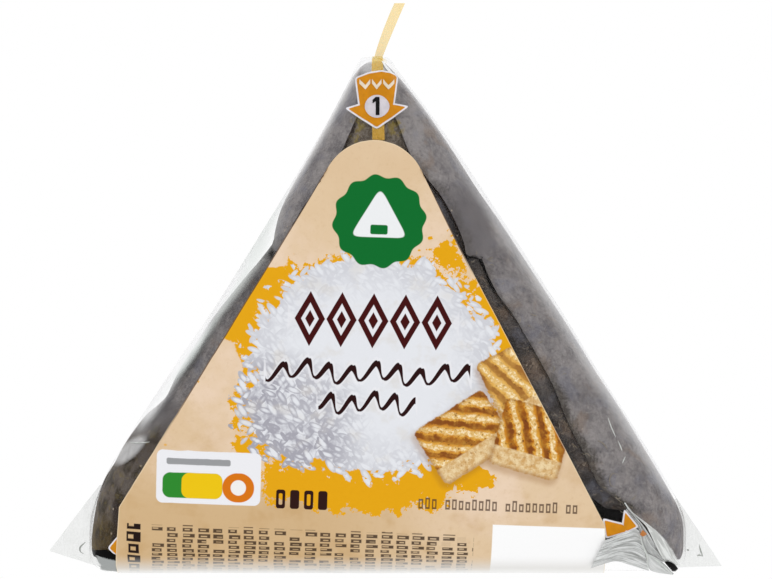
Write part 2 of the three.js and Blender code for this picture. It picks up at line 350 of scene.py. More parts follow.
FILM = Outline(film_line())
SEAWEED = Outline(seaweed_line())


def depth_at(half, share):
    """Half of the thickness: flat in the middle, and a round edge near the outline."""
    past = max(0, (min(share, 1) - FLAT_SHARE) / (1 - FLAT_SHARE))
    return half - EDGE_RADIUS * (1 - math.sqrt(1 - past * past))


def ripple(x, z, side):
    """Small creases of the film: sharp where it is slack, on the left, and faint elsewhere."""
    along = Vector((0.16 * x + 0.3 * z, 0.34 * x - 0.2 * z, 5 * side))
    ridge = 1 - 2.2 * abs(noise.noise(along))
    fine = 1 - 2.2 * abs(noise.noise(along * 2.6))
    slack = smooth(-14, -30, x) * smooth(10, 24, z) * (1 - smooth(56, 64, z))
    return (0.02 + 0.1 * slack) * ridge + (0.012 + 0.04 * slack) * fine


def relief(x, z, inset, side):
    """How far the film stands above the plain form, -1 for the front and +1 for the back."""
    band = BAND_RISE * smooth(4, 14, z) * (1 - smooth(BAND_WIDTH - 1, BAND_WIDTH + 1, inset))
    a = math.sin(x / LUMP_PITCH + side) * math.cos(z / LUMP_PITCH - 0.7 * side)
    b = math.sin((x + z) / (0.55 * LUMP_PITCH)) * math.cos((x - z) / (0.7 * LUMP_PITCH) + side)
    lump = LUMP * smooth(0, 6, inset) * (a + 0.6 * b) / 1.6
    gather = 0.0
    if side < 0:
        across = (x - GATHER_PLACE.x) / GATHER_SIZE.x
        upward = (z - GATHER_PLACE.y) / GATHER_SIZE.y
        gather = GATHER_RISE * math.exp(-across ** 2 - upward ** 2)
    return band * smooth(0, 2, inset) + lump + BULGE * smooth(0, BASE_REACH, inset) + gather


def film_face(x, z, share, side):
    """Point of the film's front or back, at a share of the way out to its outline."""
    inset = (1 - share) * BASE_REACH
    out = depth_at(HALF_DEPTH, share) + relief(x, z, inset, side)
    return Vector((x, side * (out + ripple(x, z, side) * smooth(0, 3, inset)), z))


def film_at(x, z, side=-1):
    """Point of the film in front of, or behind, a point of the front view."""
    return film_face(x, z, min(FILM.share(x, z), 1), side)


def seaweed_face(x, z, share, side):
    """Point of the seaweed's front or back, at a share of the way out to its outline."""
    inset = (1 - share) * BASE_REACH
    grain = noise.noise(Vector((0.42 * x, 0.3 * z, 4 * side)))
    fine = noise.noise(Vector((1.1 * x, 0.9 * z, 7 * side)))
    out = depth_at(SEAWEED_HALF, share) + smooth(0, 4, inset) * (0.16 * grain + 0.07 * fine)
    out += 0.75 * BULGE * smooth(0, BASE_REACH, inset)
    if side < 0:
        near = (Vector((x, z)) - HOLLOW_PLACE).length / HOLLOW_REACH
        out -= HOLLOW_DEPTH * math.exp(-near * near)
    return Vector((x, side * out, z))


def seaweed_at(x, z, side=-1):
    """Point of the seaweed in front of, or behind, a point of the front view."""
    return seaweed_face(x, z, min(SEAWEED.share(x, z), 1), side)


def ring_functions(face, flat_rings, edge_rings, wall_rings):
    """One function for each ring of the ball, from the middle of the front to that of the back."""
    shares = [FLAT_SHARE * step / flat_rings for step in range(flat_rings + 1)]
    for step in range(1, edge_rings + 1):
        angle = math.pi / 2 * step / edge_rings
        shares.append(FLAT_SHARE + (1 - FLAT_SHARE) * math.sin(angle))

    def on_face(share, side):
        def place(target):
            spot = lerp(MIDDLE, target, share)
            return face(spot.x, spot.y, share, side)
        return place

    def on_wall(across):
        def place(target):
            front = face(target.x, target.y, 1, -1)
            back = face(target.x, target.y, 1, 1)
            return lerp(front, back, across)
        return place

    walls = [on_wall(step / wall_rings) for step in range(1, wall_rings)]
    fronts = [on_face(share, -1) for share in shares]
    backs = [on_face(share, 1) for share in reversed(shares)]
    return fronts + walls + backs


def ball_mesh(outline, rings, columns, inset=0.0):
    """A sphere with its poles on the front and back faces, every ring laid on the form."""
    bm = bmesh.new()
    last = len(rings) - 1
    targets = [spot - (spot - MIDDLE).normalized() * inset for spot in outline.around(columns)]
    bmesh.ops.create_uvsphere(bm, u_segments=columns, v_segments=last, radius=1)
    for vert in bm.verts:
        ring = round(math.acos(clamp(vert.co.z, -1)) / math.pi * last)
        column = round(math.atan2(vert.co.y, vert.co.x) / math.tau * columns) % columns
        vert.co = rings[ring](targets[column]) * MM
    return bm


def add_sheet(bm, columns, rows, place, layer=None, stored=None):
    """Adds a grid whose corners (0, 0) to (1, 1) are laid on a surface."""
    made = bmesh.ops.create_grid(bm, x_segments=columns, y_segments=rows, size=0.5)
    for vert in made["verts"]:
        across, along = vert.co.x + 0.5, vert.co.y + 0.5
        if layer:
            vert[layer] = stored(across, along)
        vert.co = place(across, along) * MM


def sheet_mesh(columns, rows, place, thickness, name=None, stored=None):
    """A sheet with a thickness, and a named value stored at its points."""
    bm = bmesh.new()
    layer = bm.verts.layers.float_vector.new(name) if name else None
    add_sheet(bm, columns, rows, place, layer, stored)
    thicken(bm, thickness)
    return bm


def on_line(points, share):
    """Point of a smooth line at a share of its length, and the way it runs there."""
    at = clamp(share) * (len(points) - 1)
    index = min(int(at), len(points) - 2)
    here = on_spline(points, index, at - index)
    ahead = on_spline(points, index, min(at - index + 0.05, 1.0))
    back = on_spline(points, index, max(at - index - 0.05, 0.0))
    return here, (ahead - back).normalized()


def between(low_line, high_line, along, across):
    """Point between two lines, by its share along them and its share across."""
    return lerp(on_line(low_line, along)[0], on_line(high_line, along)[0], across)


def strip_place(surface, points, width, rise, shift=0.0):
    """Lays a narrow strip along a line. Its width is a function of the share of the line."""
    def place(across, along):
        here, forward = on_line(points, along)
        right = Vector((forward.y, -forward.x))
        spot = here + right * (width(along) * (across - 0.5) + shift)
        return lifted(surface, spot.x, spot.y, rise)
    return place


def thicken(bm, thickness):
    """Gives a sheet its thickness: a copy stays in place and the sheet moves in behind it."""
    bm.normal_update()
    inwards = [(vert, vert.normal * -thickness * MM) for vert in bm.verts]
    bmesh.ops.extrude_face_region(bm, geom=bm.faces[:])
    for vert, move in inwards:
        vert.co += move
    bmesh.ops.recalc_face_normals(bm, faces=bm.faces[:])


def lifted(place, a, b, rise, step=0.3):
    """A point of a surface moved outwards from it."""
    across = place(a + step, b) - place(a - step, b)
    upward = place(a, b + step) - place(a, b - step)
    return place(a, b) + across.cross(upward).normalized() * rise


def add_piece(name, bm, material, nodes=()):
    """Turns a mesh into a piece of the pack."""
    mesh = bpy.data.meshes.new(name)
    bm.to_mesh(mesh)
    bm.free()
    mesh.polygons.foreach_set("use_smooth", [True] * len(mesh.polygons))
    mesh.set_sharp_from_angle(angle=SHARP_ANGLE)
    mesh.materials.append(material)
    piece = bpy.data.objects.new(name, mesh)
    bpy.context.scene.collection.objects.link(piece)
    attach(piece, "root")
    if nodes:
        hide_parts(*nodes)


def add_film_piece(name, bm, material):
    """Adds a piece that takes the place of the solid of film and rice."""
    add_piece(name, bm, material, ["film_pack"])


class Socket:
    """An output of a node. A sum written with it adds the Math nodes that work it out."""

    def __init__(self, finish, output):
        self.finish = finish
        self.output = output

    def math(self, operation, *values):
        """Adds a Math node that works on the given values."""
        return self.finish.node("ShaderNodeMath", {"operation": operation}, dict(enumerate(values)))

    def __add__(self, other):
        return self.math("ADD", self, other)

    def __sub__(self, other):
        return self.math("SUBTRACT", self, other)

    def __rsub__(self, other):
        return self.math("SUBTRACT", other, self)

    def __mul__(self, other):
        return self.math("MULTIPLY", self, other)

    def __truediv__(self, other):
        return self.math("DIVIDE", self, other)

    def __rtruediv__(self, other):
        return self.math("DIVIDE", other, self)

    def __pow__(self, other):
        return self.math("POWER", self, other)

    def __neg__(self):
        return self.math("MULTIPLY", self, -1)

    def __abs__(self):
        return self.math("ABSOLUTE", self)

    def __mod__(self, other):
        return self.math("FLOORED_MODULO", self, other)

    def least(self, other):
        return self.math("MINIMUM", self, other)

    def most(self, other):
        return self.math("MAXIMUM", self, other)

    def floor(self):
        return self.math("FLOOR", self)

    def sine(self):
        return self.math("SINE", self)

    def root(self):
        return self.math("SQRT", self)

    def smooth(self, low, high):
        """0 at low and 1 at high, with a soft step between them. Low may be the greater one."""
        inputs = {0: self, 1: low, 2: high, 3: 0.0, 4: 1.0}
        if low > high:
            inputs = {0: self, 1: high, 2: low, 3: 1.0, 4: 0.0}
        return self.finish.node("ShaderNodeMapRange", {"interpolation_type": "SMOOTHSTEP"}, inputs)

    __radd__ = __add__
    __rmul__ = __mul__


class Finish:
    """A material and the nodes in it."""

    def __init__(self, name):
        self.material = bpy.data.materials.new(name)
        self.material.use_nodes = True
        self.tree = self.material.node_tree
        self.tree.nodes.clear()

    def node(self, kind, settings=None, inputs=None, out=0):
        """Makes a node, sets it up, joins its inputs and returns one of its outputs."""
        made = self.tree.nodes.new(kind)
        for name, value in (settings or {}).items():
            setattr(made, name, value)
        for key, value in (inputs or {}).items():
            if isinstance(value, Socket):
                self.tree.links.new(value.output, made.inputs[key])
            else:
                made.inputs[key].default_value = value
        return Socket(self, made.outputs[out])

    def place(self):
        """The point on the piece, in millimetres."""
        point = self.node("ShaderNodeTexCoord", out="Object")
        return self.scaled(point, 1 / MM)

    def stored(self, name):
        """The vector that the mesh keeps at its points under a name."""
        return self.node("ShaderNodeAttribute", {"attribute_name": name}, out="Vector")

    def scaled(self, vector, factor):
        """A vector times a number, or times one number for each axis."""
        factors = factor if isinstance(factor, tuple) else (factor,) * 3
        return self.node("ShaderNodeVectorMath", {"operation": "MULTIPLY"}, {0: vector, 1: factors})

    def parts(self, vector):
        """The x, y and z of a vector."""
        first = self.node("ShaderNodeSeparateXYZ", {}, {0: vector})
        return [Socket(self, output) for output in first.output.node.outputs]

    def joined(self, x, y, z=0.0):
        """A vector made of its x, y and z."""
        return self.node("ShaderNodeCombineXYZ", inputs={0: x, 1: y, 2: z})

    def noise(self, vector, scale, detail=3.0, roughness=0.55, distortion=0.0):
        """Smooth noise about 0.5. The scale is in bumps a millimetre."""
        inputs = {
            "Vector": vector, "Scale": scale, "Detail": detail, "Roughness": roughness,
            "Distortion": distortion,
        }
        return self.node("ShaderNodeTexNoise", {}, inputs)

    def cells(self, vector, scale, out="Distance", randomness=1.0):
        """The nearest of many scattered points: how far it is, where it is, or its colour."""
        inputs = {"Vector": vector, "Scale": scale, "Randomness": randomness}
        return self.node("ShaderNodeTexVoronoi", {"feature": "F1"}, inputs, out)

    def chance(self, seed, other=None):
        """A random number from 0 to 1, the same each time for one seed or pair of seeds."""
        settings, inputs = {"noise_dimensions": "1D"}, {"W": seed}
        if other is not None:
            settings, inputs = {"noise_dimensions": "2D"}, {"Vector": self.joined(seed, other)}
        return self.node("ShaderNodeTexWhiteNoise", settings, inputs)

    def mix(self, share, under, over):
        """One colour laid over another."""
        inputs = {0: share, 6: colour_or_link(under), 7: colour_or_link(over)}
        return self.node("ShaderNodeMix", {"data_type": "RGBA"}, inputs, 2)

    def coated(self, base, *coats):
        """Lays coats over a base in order. Each is a share and a colour."""
        for share, colour in coats:
            base = self.mix(share, base, colour)
        return base

    def bump(self, height, distance, strength=1.0):
        """Bumps that stand out by the distance, in millimetres, where the height is 1."""
        inputs = {"Height": height, "Distance": distance * MM, "Strength": strength}
        return self.node("ShaderNodeBump", {}, inputs)

    def surface(self, colour, roughness, normal=None, **more):
        """The main shader. Further inputs are given by name, with _ for a space."""
        inputs = {"Base Color": colour_or_link(colour), "Roughness": roughness}
        if normal:
            inputs["Normal"] = normal
        for name, value in more.items():
            inputs[name.replace("_", " ")] = value
        return self.node("ShaderNodeBsdfPrincipled", {}, inputs)

    def seen_through(self, share, shader, clear=(1, 1, 1)):
        """Lets the given share of the shader show over clear film."""
        through = self.node("ShaderNodeBsdfTransparent", {}, {0: rgba(clear)})
        return self.node("ShaderNodeMixShader", {}, {0: share, 1: through, 2: shader})

    def done(self, shader):
        """Joins the shader to the output and returns the material."""
        output = self.tree.nodes.new("ShaderNodeOutputMaterial")
        self.tree.links.new(shader.output, output.inputs[0])
        return self.material


def rgba(colour):
    return (*colour[:3], 1.0)


def colour_or_link(colour):
    return colour if isinstance(colour, Socket) else rgba(colour)


def srgb(red, green, blue):
    """A colour from its 0 to 255 screen values."""
    def linear(value):
        share = value / 255
        return share / 12.92 if share <= 0.04045 else ((share + 0.055) / 1.055) ** 2.4
    return (linear(red), linear(green), linear(blue))


def colour_setting(name, text, colour):
    return FloatVectorProperty(
        name=name, description=text, default=colour, subtype="COLOR", size=3, min=0, max=1,
    )


class RicePackColours(PropertyGroup):
    """Colours of the pack."""

    # The seaweed's grey tones hold the clear film's milky reflection, painted in; the lighter flaps carry
    # more of this painted reflection than the panel.
    seaweed: colour_setting("Seaweed", "Lighter colour of the flaps", srgb(142, 137, 136))
    seaweed_dark: colour_setting("Dark seaweed", "Darker colour of the flaps", srgb(98, 94, 96))
    panel: colour_setting("Panel", "Lighter colour of the panel between the flaps", srgb(92, 86, 83))
    panel_dark: colour_setting("Dark panel", "Darker colour of that panel", srgb(44, 40, 39))
    fleck: colour_setting("Flecks", "Colour of the pale flecks in the seaweed", srgb(186, 172, 152))
    film: colour_setting("Film", "Colour of the light on the clear film", (0.93, 0.93, 0.94))
    paper: colour_setting("Paper", "Colour of the label", srgb(224, 197, 162))
    paper_pale: colour_setting("Pale paper", "Worn paler patches of the label", srgb(237, 213, 190))
    amber: colour_setting("Amber", "Colour of the printed splash", srgb(228, 165, 12))
    rice: colour_setting("Rice", "Colour of the printed rice field", srgb(228, 230, 235))
    green: colour_setting("Green", "Colour of the round printed mark", srgb(4, 108, 42))
    maroon: colour_setting("Maroon", "Colour of the printed ornament", srgb(64, 6, 6))
    arrow: colour_setting("Arrow", "Colour of the printed arrows", srgb(210, 136, 12))
    tape: colour_setting("Tape", "Colour of the tear strip", (1.0, 0.56, 0.08))


def share_setting(name, text, share):
    return FloatProperty(name=name, description=text, default=share, min=0, max=1, subtype="FACTOR")


class RicePackSizes(PropertyGroup):
    """Sizes and strengths of the finish."""

    haze: share_setting("Haze", "Share of light that the film sends back face on", 0.008)
    film_roughness: share_setting("Film roughness", "Roughness of the film's gloss", 0.16)
    tape_share: share_setting("Tape body", "How solid the tear strip looks", 0.29)
    seaweed_grain: FloatProperty(
        name="Seaweed grain", description="Depth of the seaweed's fine grain in millimetres",
        default=0.12, min=0, max=1,
    )


def colours():
    return bpy.context.scene.rice_pack_colours


def sizes():
    return bpy.context.scene.rice_pack_sizes


def turned(a, b, angle):
    """Two coordinates as they read along axes that are turned by an angle."""
    cosine, sine = math.cos(angle), math.sin(angle)
    return a * cosine + b * sine, b * cosine - a * sine


def blob(x, z, centre, radii, turn=0.0):
    """A soft round patch: 1 in its middle and 0 from its rim on."""
    dx, dz = x - centre[0], z - centre[1]
    if turn:
        dx, dz = turned(dx, dz, turn)
    return ((dx / radii[0]) ** 2 + (dz / radii[1]) ** 2).smooth(1.0, 0.1)


def seaweed_finish(name, dark, light, crinkled, flap=False):
    """Toasted seaweed under film: cloudy and mottled, with pale flecks and brown creases. Its grey tones
    hold the film's painted reflection, and it has painted shade: broad darker patches, a line beside the
    label and a near-black foot.
    """
    finish = Finish(name)
    place = finish.place()
    x, y, z = finish.parts(place)
    front = y.smooth(-8.5, -11)
    near = y.smooth(2, -5)
    clouds = finish.noise(place, 0.1, 4, 0.6)
    mottle = finish.noise(place, 0.36, 5, 0.62)
    grit = finish.noise(place, 2.2, 4, 0.7)
    tint = finish.noise(place, 0.17, 3, 0.6, 0.5)
    gold = finish.noise(place, 0.8, 4, 0.7)
    patchy = (mottle * 0.6 + clouds * 0.45 + grit * 0.3).smooth(0.51, 0.83)
    # Painted shade: two broad darker patches, beside the right flap's step and low on the left.
    shaded = (blob(x, z, (12.5, 56), (5, 9)) * 0.8).most(blob(x, z, (-37, 22), (9, 8)) * 0.9)
    base = finish.mix(patchy, dark, light)
    if not flap:
        around = finish.mix(patchy, colours().seaweed_dark, colours().seaweed)
        base = finish.mix(front, around, base)
    base = finish.coated(
        base,
        (grit.smooth(0.54, 0.74) * 0.28, [value * 1.5 for value in light]),
        (grit.smooth(0.46, 0.3) * 0.34, [value * 0.6 for value in dark]),
        (tint.smooth(0.54, 0.68) * 0.4, srgb(126, 104, 84)),
        (tint.smooth(0.47, 0.34) * 0.34, srgb(112, 114, 128)),
        (shaded * near, dark),
    )
    if flap:
        base = flap_edges(finish, base, x, z, mottle, grit)
    low_left = x.smooth(-29, -37) * z.smooth(29, 20) * near
    foot = low_left * (z + (mottle - 0.5) * 9).smooth(12, 7.5)
    # Painted shadow: a dark line on the seaweed just left of the label's lower left edge, where the
    # label's edge casts shade.
    label_edge_shadow = x.smooth(-43.9, -43.1) * x.smooth(-40, -42) * z.smooth(13, 11.5) * near
    base = finish.coated(
        base,
        (low_left * (1.2 - mottle * 0.7), srgb(76, 66, 56)),
        (foot * 0.9, srgb(72, 56, 20)),
        (low_left * mottle.smooth(0.52, 0.4) * 0.75, srgb(34, 26, 10)),
        (gold.smooth(0.52, 0.72) * low_left * 0.5, srgb(118, 102, 50)),
        (label_edge_shadow * 0.8, srgb(30, 14, 8)),
    )
    if not flap:
        notch = z.smooth(66, 67.5) * x.smooth(-12, -10) * x.smooth(8, 6) * front
        rough = finish.mix(grit.smooth(0.4, 0.62), srgb(92, 82, 72), srgb(136, 126, 114))
        base = finish.mix(notch * 0.85, base, rough)
    top_gold = blob(x, z, (-4.7, 71.9), (1.5, 1.7)).most(blob(x, z, (-5.4, 69.8), (1.3, 1.2)))
    top_gold = top_gold.most(blob(x, z, (1.3, 71.4), (1.6, 2))) * near
    warped = finish.noise(place, 1.2, 2) * 0.3
    specks = finish.cells(finish.scaled(place, (1.0, 1.0, 0.7)), 0.6) + warped
    speck_size = finish.noise(place, 0.5, 2) * 0.3 + 0.06
    threads = finish.noise(place, 0.55, 3, 0.6, 0.8)
    lower = z.smooth(56, 44)
    broken = finish.noise(place, 0.4, 2).smooth(0.42, 0.6)
    dark_thread = abs(threads - 0.47).smooth(0.03, 0.004) * crinkled * (0.35 + lower * 0.65)
    pale_thread = abs(threads - 0.52).smooth(0.012, 0.002) * crinkled * lower * broken
    # Painted shadow: the seaweed's foot at the lower left is near black, where shade falls under its round
    # edge.
    black = z.smooth(4.3, 3.9) * x.smooth(-36, -38) * near
    base = finish.coated(
        base,
        (gold.smooth(0.47, 0.58) * top_gold * 0.85, srgb(140, 122, 58)),
        ((speck_size - specks).smooth(0.0, 0.07) * 0.55, colours().fleck),
        (dark_thread * 0.6, srgb(48, 40, 36)),
        (pale_thread * 0.5, srgb(168, 150, 126)),
        (black, srgb(6, 5, 4)),
    )
    normal = finish.bump(mottle * 0.7 + grit * 0.4, sizes().seaweed_grain)
    shader = finish.surface(base, mottle * 0.2 + 0.45, normal, Specular_IOR_Level=0.15)
    return finish.done(shader)


def flap_edges(finish, base, x, z, mottle, grit):
    """Darkens a flap towards its inner edge: broadly at the lower right and narrowly above."""
    margin, _, _ = finish.parts(finish.stored("margin"))
    wide = (margin + (mottle - 0.5) * 5 + (grit - 0.5) * 2).smooth(3.4, 0.6)
    wide = wide * z.smooth(37, 29) * z.smooth(9.5, 12)
    narrow = (margin + (mottle - 0.5) * 3).smooth(1.8, 0.2) * z.smooth(68, 64) * z.smooth(12, 20)
    inner = wide.most(narrow * 0.5) * x.smooth(0, 4)
    under = finish.mix(grit.smooth(0.4, 0.6), srgb(58, 52, 46), srgb(84, 78, 72))
    return finish.mix(inner * 0.9, base, under)


def shadow_finish(name, colour):
    """The dark of a deep fold, soft towards its edges."""
    finish = Finish(name)
    depth, strength, _ = finish.parts(finish.stored("inside"))
    ragged = finish.noise(finish.place(), 0.9, 4, 0.65)
    share = (depth + (ragged - 0.5) * 1.5).smooth(0.0, 0.5) * strength
    tone = finish.mix(strength.smooth(0.5, 1), srgb(40, 30, 24), colour)
    shader = finish.surface(tone, 0.6, Specular_IOR_Level=0.05)
    return finish.done(finish.seen_through(share, shader))


def film_finish(name, haze):
    """Clear packing film: it sends back a little light face on and much more at its edges."""
    finish = Finish(name)
    place = finish.place()
    x, y, z = finish.parts(place)
    facing = finish.node("ShaderNodeLayerWeight", {}, {"Blend": 0.5}, "Facing")
    clouds = finish.noise(place, 0.14, 4, 0.6)
    streaks = finish.noise(finish.scaled(place, (1.0, 1.0, 0.45)), 0.5, 2, 0.5, 0.6)
    body = haze * (0.5 + clouds)
    front = y.smooth(-5, -8)
    glare = blob(x, z, (-40.8, 20.3), (4.2, 1.4), 0.72) * 0.5
    glare = glare + blob(x, z, (-37.6, 24.4), (4, 2), 0.85) * 0.06
    glare = glare + blob(x, z, (-31.4, 36.4), (1.9, 7), -0.55) * 0.34
    glare = glare + blob(x, z, (-1.9, 81.6), (5, 2.8)) * 0.5
    glare = glare * (0.45 + streaks) * front
    right = x.smooth(-2, 24)
    left = x.smooth(-14, -20) * z.smooth(27, 33)
    rim = facing.smooth(0.5, 0.94)
    rim = rim.most(facing.smooth(0.3, 0.86) * (right * 0.62 + left * 0.6))
    soft = x.smooth(-12, -17) * z.smooth(20, 26) * z.smooth(56, 52) * y.smooth(-5.5, -8)
    lower = z.smooth(48, 40) * 0.9
    rim = rim.most((y - lower).smooth(-13.2, -10.9) * soft * (0.5 + streaks * 0.3))
    crisp = (x.smooth(-24, -31) * z.smooth(27, 21)).most(z.smooth(16, 10))
    rim = rim * (1 - crisp) + facing.smooth(0.88, 0.99) * crisp
    share = (body + glare + rim * 0.86).least(0.97)
    creases = finish.noise(finish.scaled(place, (1.0, 1.0, 0.6)), 0.8, 3, 0.5, 0.4)
    normal = finish.bump(creases, 0.25, 0.35)
    grey = left * (1 - y.smooth(-11, -8.7) * z.smooth(52, 46))
    tone = finish.mix(grey * 0.85, colours().film, srgb(222, 229, 225))
    shader = finish.surface(tone, sizes().film_roughness, normal, Metallic=0.5)
    return finish.done(finish.seen_through(share, shader))


def ear_finish():
    """Two flat plies of film, slightly grey, with faint streaks."""
    finish = Finish("film_flat")
    place = finish.place()
    streaks = finish.noise(finish.scaled(place, (1.0, 1.0, 0.5)), 0.7, 4, 0.6, 0.8)
    fine = finish.noise(place, 2.4, 3, 0.6)
    share = 0.12 + streaks.smooth(0.35, 0.7) * 0.1 + fine.smooth(0.5, 0.75) * 0.05
    normal = finish.bump(streaks, 0.3, 0.4)
    grey = finish.mix(streaks.smooth(0.4, 0.6), srgb(186, 192, 187), srgb(214, 218, 214))
    shader = finish.surface(grey, 0.3, normal, Specular_IOR_Level=0.3)
    return finish.done(finish.seen_through(share, shader))


def milky_finish(name, low, high):
    """Film gathered in many layers, streaked from clear to white."""
    finish = Finish(name)
    along = finish.stored("fold")
    streaks = finish.noise(finish.scaled(along, (2.0, 22.0, 1.0)), 1.0, 3, 0.6, 0.8)
    patches = finish.noise(finish.place(), 0.5, 3)
    share = low + (high - low) * (streaks * 0.7 + patches * 0.5).smooth(0.4, 0.8)
    normal = finish.bump(streaks, 0.2, 0.7)
    tone = finish.mix(streaks.smooth(0.3, 0.62), srgb(172, 174, 172), srgb(230, 232, 231))
    shader = finish.surface(tone, 0.3, normal, Specular_IOR_Level=0.3)
    return finish.done(finish.seen_through(share, shader))


def pleat_finish():
    """A fold of film: bright along its left edge and fading out to the right."""
    finish = Finish("film_pleat")
    along = finish.stored("fold")
    _, across, _ = finish.parts(along)
    wander = finish.noise(finish.place(), 0.8, 3) * 0.5 - 0.25
    left_edge = (across + wander * 0.15).smooth(0.18, 0.06)
    right_edge = (across + wander * 0.3).smooth(1.0, 0.7)
    patches = finish.noise(finish.scaled(along, (3.5, 4.0, 1.0)), 1.0, 3, 0.6, 0.5)
    share = (0.6 + patches.smooth(0.42, 0.62) * 0.26) * right_edge
    share = share.most(left_edge * 0.95)
    tone = finish.mix(patches.smooth(0.4, 0.6), srgb(214, 216, 213), srgb(236, 238, 236))
    shader = finish.surface(tone, 0.3, Specular_IOR_Level=0.3)
    return finish.done(finish.seen_through(share.least(0.95), shader))


def ink_and_highlight_finish(name, colour):
    """Ink on film, also used for painted highlights and crease lines: even, with a faint mottle and the
    film's gloss.
    """
    finish = Finish(name)
    place = finish.place()
    mottle = finish.noise(place, 0.8, 4)
    deep = [value * 0.86 for value in colour]
    base = finish.mix(mottle.smooth(0.35, 0.7), deep, colour)
    normal = finish.bump(finish.noise(place, 0.5, 2), 0.12, 0.4)
    return finish.done(finish.surface(base, 0.35, normal, Specular_IOR_Level=0.12))


def tape_finish():
    """Translucent amber tape."""
    finish = Finish("tear_tape")
    grain = finish.noise(finish.scaled(finish.place(), (1.0, 1.0, 0.15)), 1.6, 3)
    share = sizes().tape_share * (0.8 + grain * 0.4)
    base = finish.mix(grain.smooth(0.3, 0.7) * 0.3, colours().tape, (1.0, 0.6, 0.08))
    normal = finish.bump(grain, 0.05, 0.5)
    shader = finish.surface(base, 0.28, normal, Specular_IOR_Level=0.15)
    return finish.done(finish.seen_through(share, shader, (0.97, 1.0, 0.88)))


def away_from_box(u, v, centre, half, corner, turn=0.0):
    """Distance from the rim of a printed box with round corners, below 0 inside it."""
    du, dv = u - centre[0], v - centre[1]
    if turn:
        du, dv = turned(du, dv, turn)
    a = abs(du) - (half[0] - corner)
    b = abs(dv) - (half[1] - corner)
    outside = (a.most(0) ** 2 + b.most(0) ** 2).root()
    return outside + a.most(b).least(0) - corner


def away_from_oval(u, v, centre, radii):
    """Distance from the rim of a printed oval, below 0 inside it."""
    across, upward = (u - centre[0]) / radii[0], (v - centre[1]) / radii[1]
    return ((across ** 2 + upward ** 2).root() - 1) * min(radii)


def away_from_heap(u, v, ragged):
    """Distance from the ragged rim of the printed rice, below 0 inside it."""
    main = away_from_oval(u, v, (-2.6, 33.4), (19.2, 17))
    return main.least(away_from_oval(u, v, (-12.6, 26.2), (10.4, 8.6))) + (ragged - 0.5) * 6


def inked(distance, soft=0.07):
    """Share of ink where a distance from a rim is below 0."""
    return distance.smooth(soft, -soft)


def label_print(finish, u, v):
    """The print on the front of the label, from the paper up to the last ornament."""
    place = finish.joined(u, v)
    fibre = finish.noise(place, 1.3, 5, 0.7)
    ragged = finish.noise(place, 0.3, 4, 0.62)
    splash, splash_rim = splash_print(finish, u, v, place, ragged)
    base = bare_paper(finish, u, v, place, fibre, splash_rim)
    amber = finish.mix(fibre.smooth(0.45, 0.8) * 0.25, colours().amber, srgb(216, 150, 8))
    base = finish.mix(splash, base, amber)
    base = rice_print(finish, u, v, place, ragged, base)
    base = grilled_slices(finish, u, v, place, base)
    base = round_mark(finish, u, v, base)
    base = ornament_rows(finish, u, v, base)
    base = small_marks(finish, u, v, base)
    return base, fibre


def splash_print(finish, u, v, place, ragged):
    """Share of the printed splash and its drops, and the distance from the splash's rim."""
    spiky = finish.noise(place, 0.75, 3, 0.75)
    rim = away_from_heap(u, v, ragged) - 1.1 + (spiky - 0.5) * 5
    for centre, radii in (
        ((-23.5, 40.5), (11.5, 12)), ((-5, 14.6), (15.5, 4.4)), ((16.5, 39), (6, 9.5)),
        ((8.4, 50.6), (1.8, 3.4)), ((9, 17), (8, 3.6)), ((-21.5, 20.5), (2.4, 2.4)),
    ):
        part = away_from_oval(u, v, centre, radii) + (ragged - 0.5) * 8 + (spiky - 0.5) * 4
        rim = rim.least(part)
    for centre, radii in (
        ((-26.4, 32), (3.4, 4.6)), ((-18.6, 49.8), (2.4, 1.8)), ((17.5, 45.2), (1.3, 2.2)),
        ((-29.6, 40.4), (1.5, 2.4)),
    ):
        rim = rim.most(-(away_from_oval(u, v, centre, radii) + (ragged - 0.5) * 2))
    drops = finish.cells(finish.scaled(place, (0.7, 1.0, 1.0)), 0.3)
    drop_size = finish.noise(place, 0.2, 2) * 0.46 - 0.17
    drop = (drop_size - drops).smooth(0.0, 0.04) * rim.smooth(9, 4)
    return inked(rim, 0.1).most(drop), rim


def bare_paper(finish, u, v, place, fibre, splash_rim):
    """The label's brown paper: darker at the lower left and paler round the splash."""
    broad = finish.noise(place, 0.06, 4, 0.6)
    stain = finish.noise(place, 0.16, 3, 0.6)
    pale = splash_rim.smooth(7, 1) * broad.smooth(0.36, 0.56) * (1 - v.smooth(18, 10) * u.smooth(16, 0))
    speck = (finish.noise(place, 0.45, 2) * 0.2 - 0.075 - finish.cells(place, 0.8)).smooth(0.0, 0.04)
    return finish.coated(
        colours().paper,
        (broad.smooth(0.35, 0.66) * 0.4, srgb(214, 183, 144)),
        (v.smooth(24, 8) * u.smooth(16, -12) * 0.9, srgb(207, 175, 131)),
        (stain.smooth(0.48, 0.7) * v.smooth(34, 6) * 0.5, srgb(194, 156, 104)),
        (pale * 0.75, colours().paper_pale),
        (fibre.smooth(0.5, 0.8) * 0.34, srgb(198, 164, 122)),
        (speck * 0.6, srgb(190, 140, 84)),
    )


